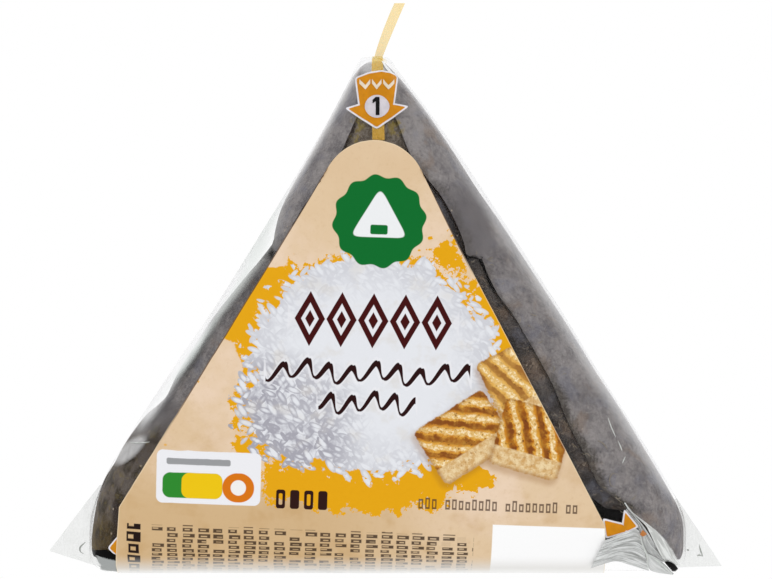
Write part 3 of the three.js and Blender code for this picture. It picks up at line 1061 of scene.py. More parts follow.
def rice_print(finish, u, v, place, ragged, base):
    """A heap of printed rice, with loose grains round its rim."""
    heap = away_from_heap(u, v, ragged)
    field = inked(heap + 0.6, 0.15)
    shade = finish.noise(place, 0.5, 4, 0.6)
    for turn, length, width in ((0.9, 3.1, 1.1), (-0.35, 2.8, 1.0), (2.2, 2.9, 1.15)):
        shown, light = grain_layer(finish, u, v, turn, length, width, ragged)
        field = field.most(shown)
        shade = shade * 0.4 + (light * shown + shade * (1 - shown)) * 0.6
    edge = heap.smooth(-8, 0) * 0.4 + blob(u, v, (-16, 24), (15, 13)) * 0.8
    warm = finish.noise(place, 0.25, 3).smooth(0.5, 0.7)
    dots = finish.noise(place, 0.4, 2) * 0.18 - 0.06 - finish.cells(place, 0.5)
    rice = finish.coated(
        colours().rice,
        (edge * shade.smooth(0.66, 0.3), srgb(166, 165, 175)),
        (warm * 0.45, srgb(214, 208, 200)),
        (dots.smooth(0.0, 0.04) * edge, srgb(66, 68, 84)),
    )
    return finish.mix(field, base, rice)


def grain_layer(finish, u, v, turn, length, width, ragged):
    """Printed rice grains lying one way: where they show, and their shade."""
    along, over = turned(u, v, turn)
    spot = finish.joined(along / length, over / width, turn)
    distance, centre, tint = (
        finish.cells(spot, 1.0, out, 0.9) for out in ("Distance", "Position", "Color")
    )
    a, b, _ = finish.parts(centre)
    cosine, sine = math.cos(turn), math.sin(turn)
    cu = a * (length * cosine) - b * (width * sine)
    cv = a * (length * sine) + b * (width * cosine)
    inside = away_from_heap(cu, cv, ragged).smooth(0.9, 0.7)
    shown = distance.smooth(0.5, 0.42) * inside
    red, _, _ = finish.parts(tint)
    shade = distance.smooth(0.5, 0.05) * 0.6 + red * 0.4
    return shown, shade


def grilled_slices(finish, u, v, place, base):
    """Three grilled slices beside the rice: tan blocks with brown bars and a pale cut side."""
    grit = finish.noise(place, 1.0, 5, 0.72)
    gleam = finish.noise(place, 1.9, 3, 0.6)
    uneven = finish.noise(place, 0.35, 3, 0.6)
    wobble = (grit - 0.5) * 1.2
    slices = (
        ((20.4, 31.0), (4.6, 6.0), 0.5, 0.35, 0.55),
        ((12.2, 22.6), (6.4, 5.0), 0.6, 0.9, 0.1),
        ((22.8, 22.6), (5.5, 5.4), -0.24, 0.45, 0.0),
    )
    for centre, half, turn, slant, paleness in slices:
        du, dv = u - centre[0], v - centre[1]
        rim = away_from_box(u, v, centre, half, 0.9, turn) + wobble * 0.7
        below = (centre[0] - 0.3, centre[1] - 0.6)
        shadow = away_from_box(u, v, below, half, 1.2, turn).smooth(0.9, -0.4)
        upward = dv * math.cos(turn) - du * math.sin(turn)
        bars = (du * math.cos(turn + slant) + dv * math.sin(turn + slant)) * 2.5 + wobble * 2.2
        bar = (bars + (uneven - 0.5) * 4).sine()
        burnt = uneven.smooth(0.62, 0.42) * (1 - paleness)
        cut = (upward + half[1] * 0.42 + wobble * 0.5).smooth(0.15, -0.15)
        top = finish.coated(
            srgb(190, 114, 20),
            (grit.smooth(0.35, 0.65), srgb(222, 164, 62)),
            (paleness, srgb(232, 190, 104)),
            (bar.smooth(0.0, -0.8) * (0.5 + burnt * 0.5), srgb(128, 68, 22)),
            (bar.smooth(0.15, 0.75) * 0.85, srgb(226, 188, 116)),
            (bar.smooth(0.4, 0.9) * gleam.smooth(0.46, 0.62), srgb(248, 228, 188)),
            (gleam.smooth(0.4, 0.33) * (0.85 - paleness * 0.6), srgb(104, 56, 24)),
        )
        side = finish.coated(
            srgb(204, 160, 98),
            (grit.smooth(0.35, 0.65), srgb(236, 212, 166)),
            (gleam.smooth(0.6, 0.7) * 0.6, srgb(146, 92, 36)),
        )
        tone = finish.coated(top, (cut, side), (rim.smooth(-0.7, -0.05) * 0.45, srgb(140, 84, 30)))
        base = finish.coated(base, (shadow * 0.4, srgb(150, 98, 30)), (inked(rim, 0.12), tone))
    return base


def round_mark(finish, u, v, base):
    """A green mark with a scalloped rim, and a plain white rice-ball shape with a band on it."""
    du, dv = u + 2.25, v - 56
    angle = du.math("ARCTAN2", dv, du)
    reach = (du ** 2 + dv ** 2).root()
    rim = reach - 7.1 - (angle * 12).sine() * 0.28
    leans = [math.radians(90 + 120 * step) for step in range(3)]
    sides = [(du * -math.cos(lean) - (dv - 0.1) * math.sin(lean)).most(0) ** 5 for lean in leans]
    triangle = (sides[0] + sides[1] + sides[2]) ** 0.2 - 2.6
    band = away_from_box(du, dv, (0.0, -1.3), (1.35, 0.75), 0.3)
    white = inked(triangle, 0.08) * (1 - inked(band, 0.07))
    return finish.coated(base, (inked(rim, 0.08), colours().green), (white, srgb(236, 238, 240)))


def ornament_rows(finish, u, v, base):
    """A maroon row of lozenges, with two brushed waves below it."""
    pitch, tall, half_row = 4.96, 4.5, 12.4
    du, dv = u + 2.65, v - 40.4
    tile = (du + half_row) % pitch - pitch / 2
    lozenge = abs(tile) / (pitch / 2) + abs(dv) / tall
    ring = abs(lozenge - 0.76) - 0.2
    core = lozenge - 0.3
    row = ring.least(core).most(abs(du) - half_row)
    halo = lozenge.most(abs(du) - half_row) - 1.02
    base = finish.coated(
        base, (inked(halo, 0.1) * 0.6, srgb(232, 232, 236)), (inked(row, 0.02), colours().maroon),
    )
    for middle, height, half, turns in ((-3.2, 32.1, 16.0, 1.75), (-3.2, 27.4, 7.6, 1.9)):
        lean = (u - middle) * turns - (v - height) * 0.5
        wave = lean.sine() * 1.15 + (lean * 0.31 + 0.6).sine() * 0.5
        slope = 1 + abs((lean + math.pi / 2).sine()) * 1.3
        weight = 0.3 + (lean + 0.8).sine() * 0.17
        line = (abs(v - height - wave) / slope - weight).most(abs(u - middle) - half)
        base = finish.coated(
            base, (inked(line - 0.3, 0.1) * 0.7, srgb(236, 236, 240)), (inked(line, 0.05), srgb(38, 6, 6)),
        )
    return base


def small_marks(finish, u, v, base):
    """The white panel, the bars that stand for small print, and the bare white patch."""
    for centre, half, corner, colour in (
        ((-27.55, 14.8), (8.15, 4.15), 1.0, srgb(236, 236, 240)),
        ((-30.1, 13.5), (4.7, 2.0), 1.2, srgb(44, 136, 44)),
        ((-28.6, 13.5), (3.2, 2.0), 1.2, srgb(236, 196, 12)),
        ((-22.9, 13.4), (2.5, 2.3), 2.29, srgb(216, 116, 14)),
        ((-22.9, 13.4), (1.2, 1.2), 1.19, srgb(240, 238, 236)),
    ):
        base = finish.mix(inked(away_from_box(u, v, centre, half, corner)), base, colour)
    strip = away_from_box(u, v, (-29.2, 17.25), (5.0, 0.5), 0.3)
    blocks = away_from_box((u + 17.3) % 2.2, v, (1.1, 11.9), (0.72, 1.5), 0.4)
    gaps = away_from_box((u + 17.3) % 4.4, v, (1.1, 11.9), (0.28, 0.9), 0.2)
    blocks = blocks.most(-gaps).most(abs(u + 12.9) - 4.4)
    base = finish.coated(
        base,
        (inked(strip) * 0.8, srgb(120, 122, 124)),
        (inked(blocks, 0.05), srgb(44, 16, 12)),
        (inked(line_marks(finish, u, v), 0.06) * 0.85, srgb(74, 52, 40)),
    )
    base = column_marks(finish, u, v, base)
    patch = (17.2 - u).most(v - 9.0)
    return finish.mix(inked(patch), base, (0.96, 0.96, 0.96))


def line_marks(finish, u, v):
    """Distance from a level row of small open boxes, which a gap parts into words."""
    boxes = u * 0.95
    number = boxes.floor()
    chance = finish.chance(number)
    across = abs(boxes % 1 - 0.5)
    tall = abs(v - 11.75 - chance * 0.3) - (0.62 + chance * 0.3)
    box = (across - 0.34).most(tall).most(-((across - 0.14).most(tall + 0.3)))
    gap = (number % 9) - 7.5
    return box.most(gap).most(abs(u - 18) - 12.6)


def column_marks(finish, u, v, base):
    """Columns of small open boxes that stand for the small print, and a bolder one beside them."""
    pitch, left, right, heading = 2.4, -36.6, 14.3, -39
    column = ((u - left) / pitch).floor()
    across = (u - left) % pitch - pitch / 2
    bold = ((column % 5) - 3.5).smooth(-0.1, 0.1)
    rows = v * 1.15
    row = rows.floor()
    along = rows % 1 - 0.5
    chance = finish.chance(column, row)
    other = finish.chance(row, column)
    tall = abs(along) - (0.3 + other * 0.08)
    wide = abs(across - (chance - 0.5) * 0.5) - (0.64 + chance * 0.3)
    hole_tall = abs(along + (other - 0.5) * 0.2) - (0.1 - bold * 0.05)
    hole_wide = abs(across - (other - 0.5) * 0.5) - (0.3 + chance * 0.2)
    box = (tall * 0.87).most(wide)
    hole = (hole_tall * 0.87).most(hole_wide)
    blank = 0.09 - chance
    inside = (v - 6.9 - finish.chance(column) * 0.4).most(u - right).most(left - u)
    marks = box.most(-hole).most(blank * 2).most(inside)
    big = v * 0.5
    chance = finish.chance(big.floor())
    along = abs(big % 1 - 0.5)
    stem = abs(u - heading) - (0.75 + chance * 0.4)
    hollow = (along - 0.16).most(abs(u - heading + chance * 0.5) - 0.4)
    bold_marks = ((along - 0.4) * 2).most(stem).most(-hollow).most(v - 7.1)
    return finish.coated(
        base, (inked(marks, 0.08) * 0.9, srgb(52, 34, 24)), (inked(bold_marks, 0.06), srgb(30, 14, 10)),
    )


def paper_finish():
    """Brown printed label paper, with painted light pale towards the base, and a painted highlight and a
    painted shadow along parts of its edges.
    """
    finish = Finish("label_paper")
    x, height, inset = finish.parts(finish.stored("paper_place"))
    u, v = turned(x, height - PRINT_MIDDLE, PRINT_TILT)
    base, fibre = label_print(finish, u, v + PRINT_MIDDLE)
    # Painted shadow at the label's rim: high on its left side and near the top of its right side.
    cut = x.smooth(-8, -10) * height.smooth(18, 30) + x.smooth(4, 6) * height.smooth(46, 52)
    base = finish.coated(
        base,
        # Painted light: pale grey towards the base and near white under it.
        (height.smooth(3.4, -0.6) * 0.72, srgb(222, 220, 216)),
        (height.smooth(0.2, -2.4) * 0.8, srgb(244, 244, 242)),
        # Painted highlight along the edges, then the painted shadow at the rim.
        (inset.smooth(0.2, 0.06) * 0.45, srgb(240, 224, 192)),
        (inset.smooth(0.25, 0.17) * cut * 0.85, srgb(72, 46, 34)),
    )
    normal = finish.bump(fibre, 0.03, 0.5)
    return finish.done(finish.surface(base, fibre * 0.2 + 0.5, normal, Specular_IOR_Level=0.1))


class Flap:
    """A side flap, laid from the middle of the side wall round the front to its inner edge."""

    def __init__(self, side, edge_line, flap_line):
        self.side = side
        self.edge_line = edge_line
        self.flap_line = flap_line

    def spot(self, across, along):
        """Share from the wall to the inner edge, and both ends of that row."""
        share = across if self.side < 0 else 1 - across
        ends = [on_line(line, 1 - along)[0] for line in (self.edge_line, self.flap_line)]
        return share, *ends

    def place(self, across, along):
        """Point of the flap: flat along the side wall, then over the front with a slight ruffle."""
        share, outer, inner = self.spot(across, along)
        if share < FLAP_WALL_SHARE:
            front = seaweed_at(outer.x, outer.y).y
            return Vector((outer.x, front * share / FLAP_WALL_SHARE, outer.y))
        past = (share - FLAP_WALL_SHARE) / (1 - FLAP_WALL_SHARE)
        spot = lerp(outer, inner, past ** 2)
        ruffle = noise.noise(Vector((0.35 * spot.x, 0.35 * spot.y, 3)))
        lift = (FLAP_THICKNESS + 0.1) * smooth(0, 0.5, past) + 0.12 * ruffle * past
        return seaweed_at(spot.x, spot.y) + Vector((0, -max(lift, 0.02), 0))

    def margin(self, across, along):
        """Distance from the inner edge, in millimetres."""
        share, outer, inner = self.spot(across, along)
        past = max(0, (share - FLAP_WALL_SHARE) / (1 - FLAP_WALL_SHARE))
        return Vector(((outer - inner).length * (1 - past ** 2), 0, 0))


def ear_place(ear):
    """Lays a sheet on an ear, from its root out to its edge."""
    top, tip, foot = (Vector(ear[key]) for key in ("top", "tip", "foot"))

    def place(out, up):
        under = lerp(foot, tip, up / EAR_TIP_SHARE)
        over = lerp(tip, top, (up - EAR_TIP_SHARE) / (1 - EAR_TIP_SHARE))
        edge = under if up < EAR_TIP_SHARE else over
        root = Vector((ear["root"], lerp(foot.y + 0.3, top.y - 0.8, up)))
        spot = lerp(root, edge, out)
        return ear_at(spot.x, spot.y)
    return place


def ear_at(x, z):
    """Point of the wavy flat ear on the side of the given point."""
    side = math.copysign(1, x)
    out = clamp((abs(x) - EAR_ROOT) / EAR_REACH)
    wave = EAR_WAVE * out * math.sin(z / 2.2 + side)
    crease = noise.noise(Vector((0.5 * x, 0.4 * z, side)))
    return Vector((x, wave + 0.5 * crease * out * (1 - 0.6 * out), z))


def under_label(x, height):
    """Point of the film under the label, by the paper's distance up from the base."""
    angle = clamp((EDGE_RADIUS - height) / EDGE_RADIUS, 0, math.pi / 2)
    on_edge = EDGE_RADIUS * (1 - math.sin(angle))
    z = PACK_BASE + max(height, on_edge)
    place = film_at(x, z)
    place.y += max(0, EDGE_RADIUS * (1 - math.pi / 2) - height)
    return place


def label_spot(across, along):
    """Place on the unrolled label: x and the distance up from the base."""
    under = -EDGE_RADIUS * (math.pi / 2 - 1) - LABEL_UNDER
    if along <= LABEL_FOOT_SHARE:
        top = lerp(LABEL_LEFT.y, LABEL_RIGHT.y, across) - PACK_BASE
        height = lerp(under, top, along / LABEL_FOOT_SHARE)
        slide = clamp((top - height) / (top - LABEL_FOOT_HEIGHT))
        left = lerp(LABEL_LEFT.x, LABEL_FOOT[0], slide)
        right = lerp(LABEL_RIGHT.x, LABEL_FOOT[1], slide)
        return lerp(left, right, across), height
    share = (along - LABEL_FOOT_SHARE) / (1 - LABEL_FOOT_SHARE)
    left = lerp(LABEL_LEFT, LABEL_TOP_LEFT, share)
    right = lerp(LABEL_RIGHT, LABEL_TOP_RIGHT, share)
    arch = max(0, 1 - (2 * across - 1) ** 2) ** 0.8
    spot = lerp(left, right, across)
    return spot.x, spot.y + (LABEL_TOP - LABEL_TOP_LEFT.y) * arch * share ** 6 - PACK_BASE


def label_place(across, along):
    """Point of the label, which lies a little off the film and is not quite flat."""
    x, height = label_spot(across, along)
    wave = 0.05 * noise.noise(Vector((0.12 * x, 0.12 * height, 2)))
    return lifted(under_label, x, height, LABEL_RISE + wave, 0.4)


def tape_route():
    """Route of the tape as legs: up the front, over the top, down the back and to the base."""
    top = Vector((TAPE_TOP, PACK_TOP))
    foot = Vector((MIDDLE.x, PACK_BASE))
    start_turn = math.asin((TAPE_FRONT_START - FLAT_SHARE) / (1 - FLAT_SHARE))

    def edge_share(angle):
        return FLAT_SHARE + (1 - FLAT_SHARE) * math.sin(angle)

    def at(target, share, side):
        spot = lerp(MIDDLE, target, share)
        return film_face(spot.x, spot.y, share, side)

    def front(t):
        return at(top, edge_share(lerp(start_turn, math.pi / 2, t)), -1)

    def over(t):
        return lerp(at(top, 1, -1), at(top, 1, 1), t)

    def back_edge(t):
        return at(top, edge_share(math.pi / 2 * (1 - t)), 1)

    def down(t):
        height = lerp(FLAT_SHARE * (PACK_TOP - MIDDLE.y), -FLAT_SHARE * BASE_REACH, t)
        if height > 0:
            return at(top, height / (PACK_TOP - MIDDLE.y), 1)
        return at(foot, -height / BASE_REACH, 1)

    def foot_edge(t):
        return at(foot, edge_share(math.pi / 2 * t), 1)

    return [(0.16, front), (0.1, over), (0.16, back_edge), (0.42, down), (0.16, foot_edge)]


def ribbon_place(route):
    """Lays a ribbon of the tape's width along a route. Past its start it is a little narrower."""
    def place(across, along):
        step = 0.003
        here = route(along)
        forward = (route(min(along + step, 1)) - route(max(along - step, 0))).normalized()
        right = Vector((1, 0, 0))
        out = right.cross(forward).normalized()
        width = TAPE_WIDTH * (1 - TAPE_NARROWING * smooth(0.08, 0.16, along))
        return here + right * width * (across - 0.5) + out * TAPE_RISE
    return place


def along_legs(legs):
    """Joins legs, each with its share of the length, to one route."""
    def route(share):
        start = 0.0
        for length, leg in legs[:-1]:
            if share < start + length:
                return leg((share - start) / length)
            start += length
        length, leg = legs[-1]
        return leg(clamp((share - start) / length))
    return route


def tab_place(across, along):
    """The free pull tab, which rises from the top and turns slightly."""
    root = Vector((TAB_ROOT.x, TAB_ROOT.y, PACK_TOP + TAPE_RISE))
    first, second = lerp(root, TAB_BEND, along), lerp(TAB_BEND, TAB_TIP, along)
    turn = TAB_TWIST * along
    right = Vector((math.cos(turn), math.sin(turn), 0))
    width = lerp(*TAB_WIDTH, along) * (1 + 0.1 * along)
    return lerp(first, second, along) + right * width * (across - 0.5)


def depth_in(corners, spot):
    """How far a point lies inside a counter-clockwise shape."""
    depths = []
    for start, end in zip(corners, corners[1:] + corners[:1]):
        forward = (Vector(end) - Vector(start)).normalized()
        away = spot - Vector(start)
        depths.append(forward.x * away.y - forward.y * away.x)
    return min(depths)


def cut_shape(bm, corners, rise, cell, surface=film_at):
    """Adds a flat shape with straight sides, laid on the film or on another surface."""
    low = Vector((min(x for x, _ in corners), min(z for _, z in corners)))
    high = Vector((max(x for x, _ in corners), max(z for _, z in corners)))
    steps = max(2, round(max(high - low) / cell))
    made = bmesh.ops.create_grid(bm, x_segments=steps, y_segments=steps, size=0.5)["verts"]
    for vert in made:
        vert.co = Vector((lerp(low.x, high.x, vert.co.x + 0.5), lerp(low.y, high.y, vert.co.y + 0.5), 0))
    new = set(made)
    for (x0, z0), (x1, z1) in zip(corners, corners[1:] + corners[:1]):
        geometry = list(new)
        geometry += {edge for vert in new for edge in vert.link_edges}
        geometry += {face for vert in new for face in vert.link_faces}
        cut = bmesh.ops.bisect_plane(
            bm, geom=geometry, plane_co=(x0, z0, 0), plane_no=(z1 - z0, x0 - x1, 0),
            clear_outer=True, dist=1e-5,
        )
        new = {item for item in cut["geom"] if isinstance(item, bmesh.types.BMVert) and item.is_valid}
    for vert in new:
        x, z = vert.co.x, vert.co.y
        vert.co = lifted(surface, x, z, rise) * MM
    return list(new)


def add_print(name, shapes, rise, colour, cell=PRINT_CELL):
    """Adds shapes that are printed on the film."""
    bm = bmesh.new()
    for corners in shapes:
        cut_shape(bm, corners, rise, cell)
    thicken(bm, PRINT_THICKNESS)
    add_piece(name, bm, ink_and_highlight_finish(name, colour))


def cut_shadow(bm, layer, corners, rise, cell, start, deeper, surface=film_at):
    """Adds a flat shape that stores how far each of its points lies inside it."""
    for vert in cut_shape(bm, corners, rise, cell, surface):
        spot = Vector((vert.co.x, vert.co.z)) / MM
        vert[layer] = Vector((start + deeper * depth_in(corners, spot), 1, 0))


def around_corners(corners):
    """Each corner of a shape, between the one before it and the one after it."""
    points = [Vector(corner) for corner in corners]
    return zip([points[-1], *points[:-1]], points, [*points[1:], points[0]])


def grown(corners, amount):
    """A counter-clockwise shape with every side moved outwards."""
    made = []
    for before, here, after in around_corners(corners):
        first = (here - before).normalized()
        second = (after - here).normalized()
        out_first = Vector((first.y, -first.x))
        out_second = Vector((second.y, -second.x))
        middle = (out_first + out_second).normalized()
        made.append(tuple(here + middle * amount / max(CORNER_SHARE, middle.dot(out_first))))
    return made


def rounded(corners, radius):
    """A shape with every corner cut to a small arc."""
    made = []
    for before, here, after in around_corners(corners):
        back = (before - here).normalized() * min(radius, (before - here).length * CORNER_SHARE)
        ahead = (after - here).normalized() * min(radius, (after - here).length * CORNER_SHARE)
        made += [tuple(here + back), *(tuple(p) for p in bend(here + back, here, here + ahead, 4))]
    return made


def disc(centre, radii, steps=28):
    """A round or oval shape."""
    angles = [math.tau * step / steps for step in range(steps)]
    return [(centre[0] + radii[0] * math.cos(a), centre[1] + radii[1] * math.sin(a)) for a in angles]


def swelling(ends, middle):
    """The width of a line that is wider in its middle than at its ends."""
    return lambda along: ends + middle * math.sin(math.pi * along)


def add_lines(bm, surface, lines, width, rise, rows=14):
    """Adds a narrow strip along each line."""
    for line in lines:
        add_sheet(bm, 2, rows, strip_place(surface, line, width, rise))


def film_fold(low_line, high_line, along, across, rise):
    """Point of a fold of film that lies between two lines, at a rise over the film."""
    spot = between(low_line, high_line, along, across)
    return lifted(film_at, spot.x, spot.y, rise)


class RicePackOperator:
    """What every step of the build shares."""

    bl_options = {"REGISTER", "UNDO"}


class AddRiceBall(RicePackOperator, Operator):
    """Add the rice ball in its seaweed, with both folded side flaps"""

    bl_idname = "rice_pack.add_ball"
    bl_label = "Rice Ball"

    def execute(self, context):
        colour = colours()
        inner = seaweed_finish("seaweed_panel", colour.panel_dark, colour.panel, 1.0)
        outer = seaweed_finish("seaweed_flap", colour.seaweed_dark, colour.seaweed, 0.25, flap=True)
        rings = ring_functions(seaweed_face, *BALL_RINGS)
        add_film_piece("rice_ball", ball_mesh(SEAWEED, rings, BALL_COLUMNS, BALL_INSET), inner)
        right_edge = [(-0.6, 81.2), *SEAWEED_RIGHT[:-1]]
        left_edge = [(-3.4, 80.9), *reversed(SEAWEED_LEFT[1:])]
        for name, flap in (
            ("flap_right", Flap(1, right_edge, FLAP_RIGHT)),
            ("flap_left", Flap(-1, left_edge, FLAP_LEFT)),
        ):
            bm = sheet_mesh(*FLAP_GRID, flap.place, FLAP_THICKNESS, "margin", flap.margin)
            add_film_piece(name, bm, outer)
        self.add_folds()
        self.add_crinkles()
        return {"FINISHED"}

    @staticmethod
    def add_folds():
        """The dark of the folds beside the flaps and in the hollow at the lower right."""
        def over(x, z):
            return seaweed_at(x, z) + Vector((0, -FLAP_THICKNESS, 0))

        bm = bmesh.new()
        inside = bm.verts.layers.float_vector.new("inside")
        for line, side in ((FLAP_RIGHT, 1), (FLAP_LEFT, -1)):
            points = list(reversed(line[2:-1]))

            def width(along):
                height = on_line(points, along)[0].y
                broad = 0.75 + 0.35 * smooth(56, 50, height) + 0.35 * smooth(65, 68, height)
                return broad + 0.9 * noise.noise(Vector((16 * along, side, 0)))

            def depth(across, along):
                height = on_line(points, along)[0].y
                step = smooth(44, 46.5, height) * (1 - smooth(51.5, 53.5, height))
                uneven = noise.noise(Vector((0.5 * height, 3 * side, 0)))
                at_top = smooth(64, 67, height)
                plain = max(step, 0.66 * smooth(54, 58, height), 0.55 * smooth(44, 50, height), 0.22)
                strength = clamp(lerp(plain, 0.3 + 1.2 * uneven, at_top))
                return Vector((0.5 * math.sin(math.pi * across), strength, 0))

            place = strip_place(over, points, width, 0.02, -0.12 * side)
            add_sheet(bm, *FOLD_GRID, place, inside, depth)
        for corners in (
            [(32.2, 13), (33, 10.4), (34.6, 9.5), (34.7, 11.1)],
            [(33.9, 11.5), (33.9, 9.6), (37.1, 8.9), (37, 11.1)],
        ):
            cut_shadow(bm, inside, corners, 0.12, 0.2, 0.3, 1, over)
        add_film_piece("fold_shadow", bm, shadow_finish("fold_shadow", srgb(9, 7, 6)))

    @staticmethod
    def add_crinkles():
        """Thin pale crinkles in the seaweed beside the lower part of the right flap."""
        lines = [
            [(36, 16.6), (35.2, 16.9), (34.7, 16.1), (34.9, 15.2), (35.5, 14.9)],
            [(35.7, 13.8), (36.1, 13), (36.9, 12.4), (37.4, 11.5)],
            [(32.7, 22.1), (33.6, 21.6), (34.3, 20.6)],
        ]
        dice = random.Random(CRINKLE_SEED)
        for _ in range(CRINKLE_COUNT):
            here, forward = on_line(FLAP_RIGHT, dice.uniform(0.34, 0.86))
            here = here + Vector((dice.uniform(-1.6, 2.2), dice.uniform(-1, 1)))
            heading = math.atan2(forward.y, forward.x) + dice.uniform(-1.5, 1.5)
            line = [tuple(here)]
            for _ in range(dice.randint(2, 4)):
                heading += dice.uniform(-1.1, 1.1)
                step = dice.uniform(0.16, 0.4)
                here = here + Vector((math.cos(heading), math.sin(heading))) * step
                line.append(tuple(here))
            lines.append(line)
        bm = bmesh.new()
        for line in lines:
            add_lines(bm, seaweed_at, [line], swelling(0.03, dice.uniform(0.03, 0.09)), 0.56)
        thicken(bm, CRINKLE_THICKNESS)
        add_film_piece("seaweed_crinkles", bm, ink_and_highlight_finish("crinkle_pale", srgb(140, 130, 115)))


class AddFilm(RicePackOperator, Operator):
    """Add the clear film round the rice ball and its two flat ears"""

    bl_idname = "rice_pack.add_film"
    bl_label = "Film"

    def execute(self, context):
        clear = film_finish("film_clear", sizes().haze)
        rings = ring_functions(film_face, *FILM_RINGS)
        add_film_piece("film_wrap", ball_mesh(FILM, rings, FILM_COLUMNS), clear)
        flat = ear_finish()
        for name, ear in (("ear_left", LEFT_EAR), ("ear_right", RIGHT_EAR)):
            place = ear_place(ear)
            side = place if ear["root"] > 0 else (lambda a, b, p=place: p(1 - a, b))
            add_film_piece(name, sheet_mesh(*EAR_GRID, side, EAR_THICKNESS), flat)
        return {"FINISHED"}


class AddGatheredFilm(RicePackOperator, Operator):
    """Add the film that is gathered at the foot of the right side"""

    bl_idname = "rice_pack.add_gathered_film"
    bl_label = "Gathered Film"

    def execute(self, context):
        foot_line = [(32, 2.5), (34.4, 3.1), (36.4, 3.2), (38.7, 2.4), (41.2, 1.4)]
        tip_line = [(34, 6.9), (35.6, 7.3), (37.3, 7.8), (38.9, 8.3), (39.6, 7.5)]
        lens_low = [(40.6, 4.3), (41.3, 2), (43.2, 1), (45.1, 0.75)]
        lens_high = [(40.6, 4.6), (42.1, 3.8), (43.4, 2.8), (45.1, 1)]

        def fan(across, up):
            pleat = 0.2 * math.sin(up * 26 + 3 * across) + 0.12 * math.sin(up * 57 + 5 * across)
            rise = lerp(0.95, 0.35, smooth(0, 0.5, across))
            rise += pleat * 0.5 * math.sin(math.pi * up) ** 0.5
            return film_fold(foot_line, tip_line, across, up, rise)

        def lens(across, up):
            return film_fold(lens_low, lens_high, across, up, 0.5 + 0.3 * math.sin(math.pi * up))

        bm = bmesh.new()
        layer = bm.verts.layers.float_vector.new("fold")
        add_sheet(bm, *FAN_GRID, fan, layer, lambda across, up: Vector((across, up, 0)))
        add_sheet(bm, *LENS_GRID, lens, layer, lambda across, up: Vector((0.5 * across, 0.2 * up, 0)))
        thicken(bm, GATHER_THICKNESS)
        add_film_piece("film_gather", bm, milky_finish("film_gathered", 0.62, 0.97))

        core_left = [
            (43.4, 2.8), (41.8, 3.6), (40.6, 4.4), (39.9, 5.7), (39.4, 7.2), (39.2, 8.6), (38.3, 9.9),
            (37.3, 11.3),
        ]
        core_right = [
            (44.4, 2.9), (43, 4), (42.4, 5.1), (41.6, 6.4), (40.8, 7.8), (39.7, 9.3), (38.6, 10.6),
            (37.6, 11.9),
        ]

        def core(across, along):
            rise = 0.12 + 0.1 * math.sin(math.pi * across)
            return film_fold(core_left, core_right, along, across, rise)

        def core_fold(across, along):
            return Vector((along, 0.14 * across, 2))

        bm = sheet_mesh(*CORE_GRID, core, CORE_THICKNESS, "fold", core_fold)
        add_film_piece("film_core", bm, milky_finish("film_cloudy", 0.2, 0.7))

        left_line = [
            (44.9, 2.4), (43.4, 3.3), (42.1, 5.4), (41.1, 7.5), (40.4, 8.8), (39.2, 10), (38, 11.1),
            (37, 12.5),
        ]
        right_line = [
            (46.2, 2.1), (45, 4.4), (43.8, 6.1), (42.6, 7.5), (41.3, 8.6), (39.6, 10), (38.2, 11.2),
            (37.2, 12.6),
        ]

        def lip(across, along):
            rise = 0.3 + 0.3 * math.sin(math.pi * across)
            return film_fold(left_line, right_line, along, across, rise)

        def lip_fold(across, along):
            return Vector((along, across, 1))

        bm = sheet_mesh(*LIP_GRID, lip, LIP_THICKNESS, "fold", lip_fold)
        add_film_piece("film_lip", bm, pleat_finish())
        self.add_corner_tones()
        # Painted highlight: a white strip on the film at the right of its peak.
        peak = [(1.1, 78.9), (0.3, 79.8), (-0.4, 80.7), (-0.9, 81.4)]
        place = strip_place(film_at, peak, swelling(0.1, 0.24), 0.25)
        bm = sheet_mesh(*PEAK_GRID, place, LIP_THICKNESS)
        add_film_piece("film_peak_highlight", bm, ink_and_highlight_finish("film_bright", srgb(244, 245, 245)))
        self.add_creases()
        return {"FINISHED"}

    @staticmethod
    def add_corner_tones():
        """The painted shadows in the gaps at both feet, and the painted grey shade of the slack film below
        the left one.
        """
        right = [
            (43.1, 3.25), (44, 2.3), (44.8, 1.5), (45.25, 1.0), (45.55, 1.0), (45.8, 1.4), (45.6, 1.85),
            (45.1, 2.45), (44.5, 2.95), (43.8, 3.25),
        ]
        left = [(-46.1, 4.4), (-46.15, 3.7), (-45.2, 3.35), (-42.5, 2.95), (-42.5, 3.9), (-44.3, 4.65)]
        slack = [(-46.1, 3.6), (-45.5, 1.2), (-44.9, 0.8), (-42.2, 0.85), (-42.4, 3.1)]
        for name, shapes, start, deeper, colour in (
            ("pleat_shadow", ((right, 0.7), (left, 0.26)), 0.55, 1.5, srgb(5, 4, 4)),
            # Painted shade: the grey sheet over the slack film below the left foot.
            ("film_foot", ((slack, 0.26),), 0.3, 0.9, srgb(160, 163, 162)),
        ):
            bm = bmesh.new()
            inside = bm.verts.layers.float_vector.new("inside")
            for corners, rise in shapes:
                cut_shadow(bm, inside, corners, rise, 0.12, start, deeper)
            add_film_piece(name, bm, shadow_finish(name, colour))

    @staticmethod
    def add_creases():
        """Fine creases in the film, drawn white as painted highlight, and grey ones in its ears, drawn
        with painted shade and, on the right ear, the seaweed's painted reflection.
        """
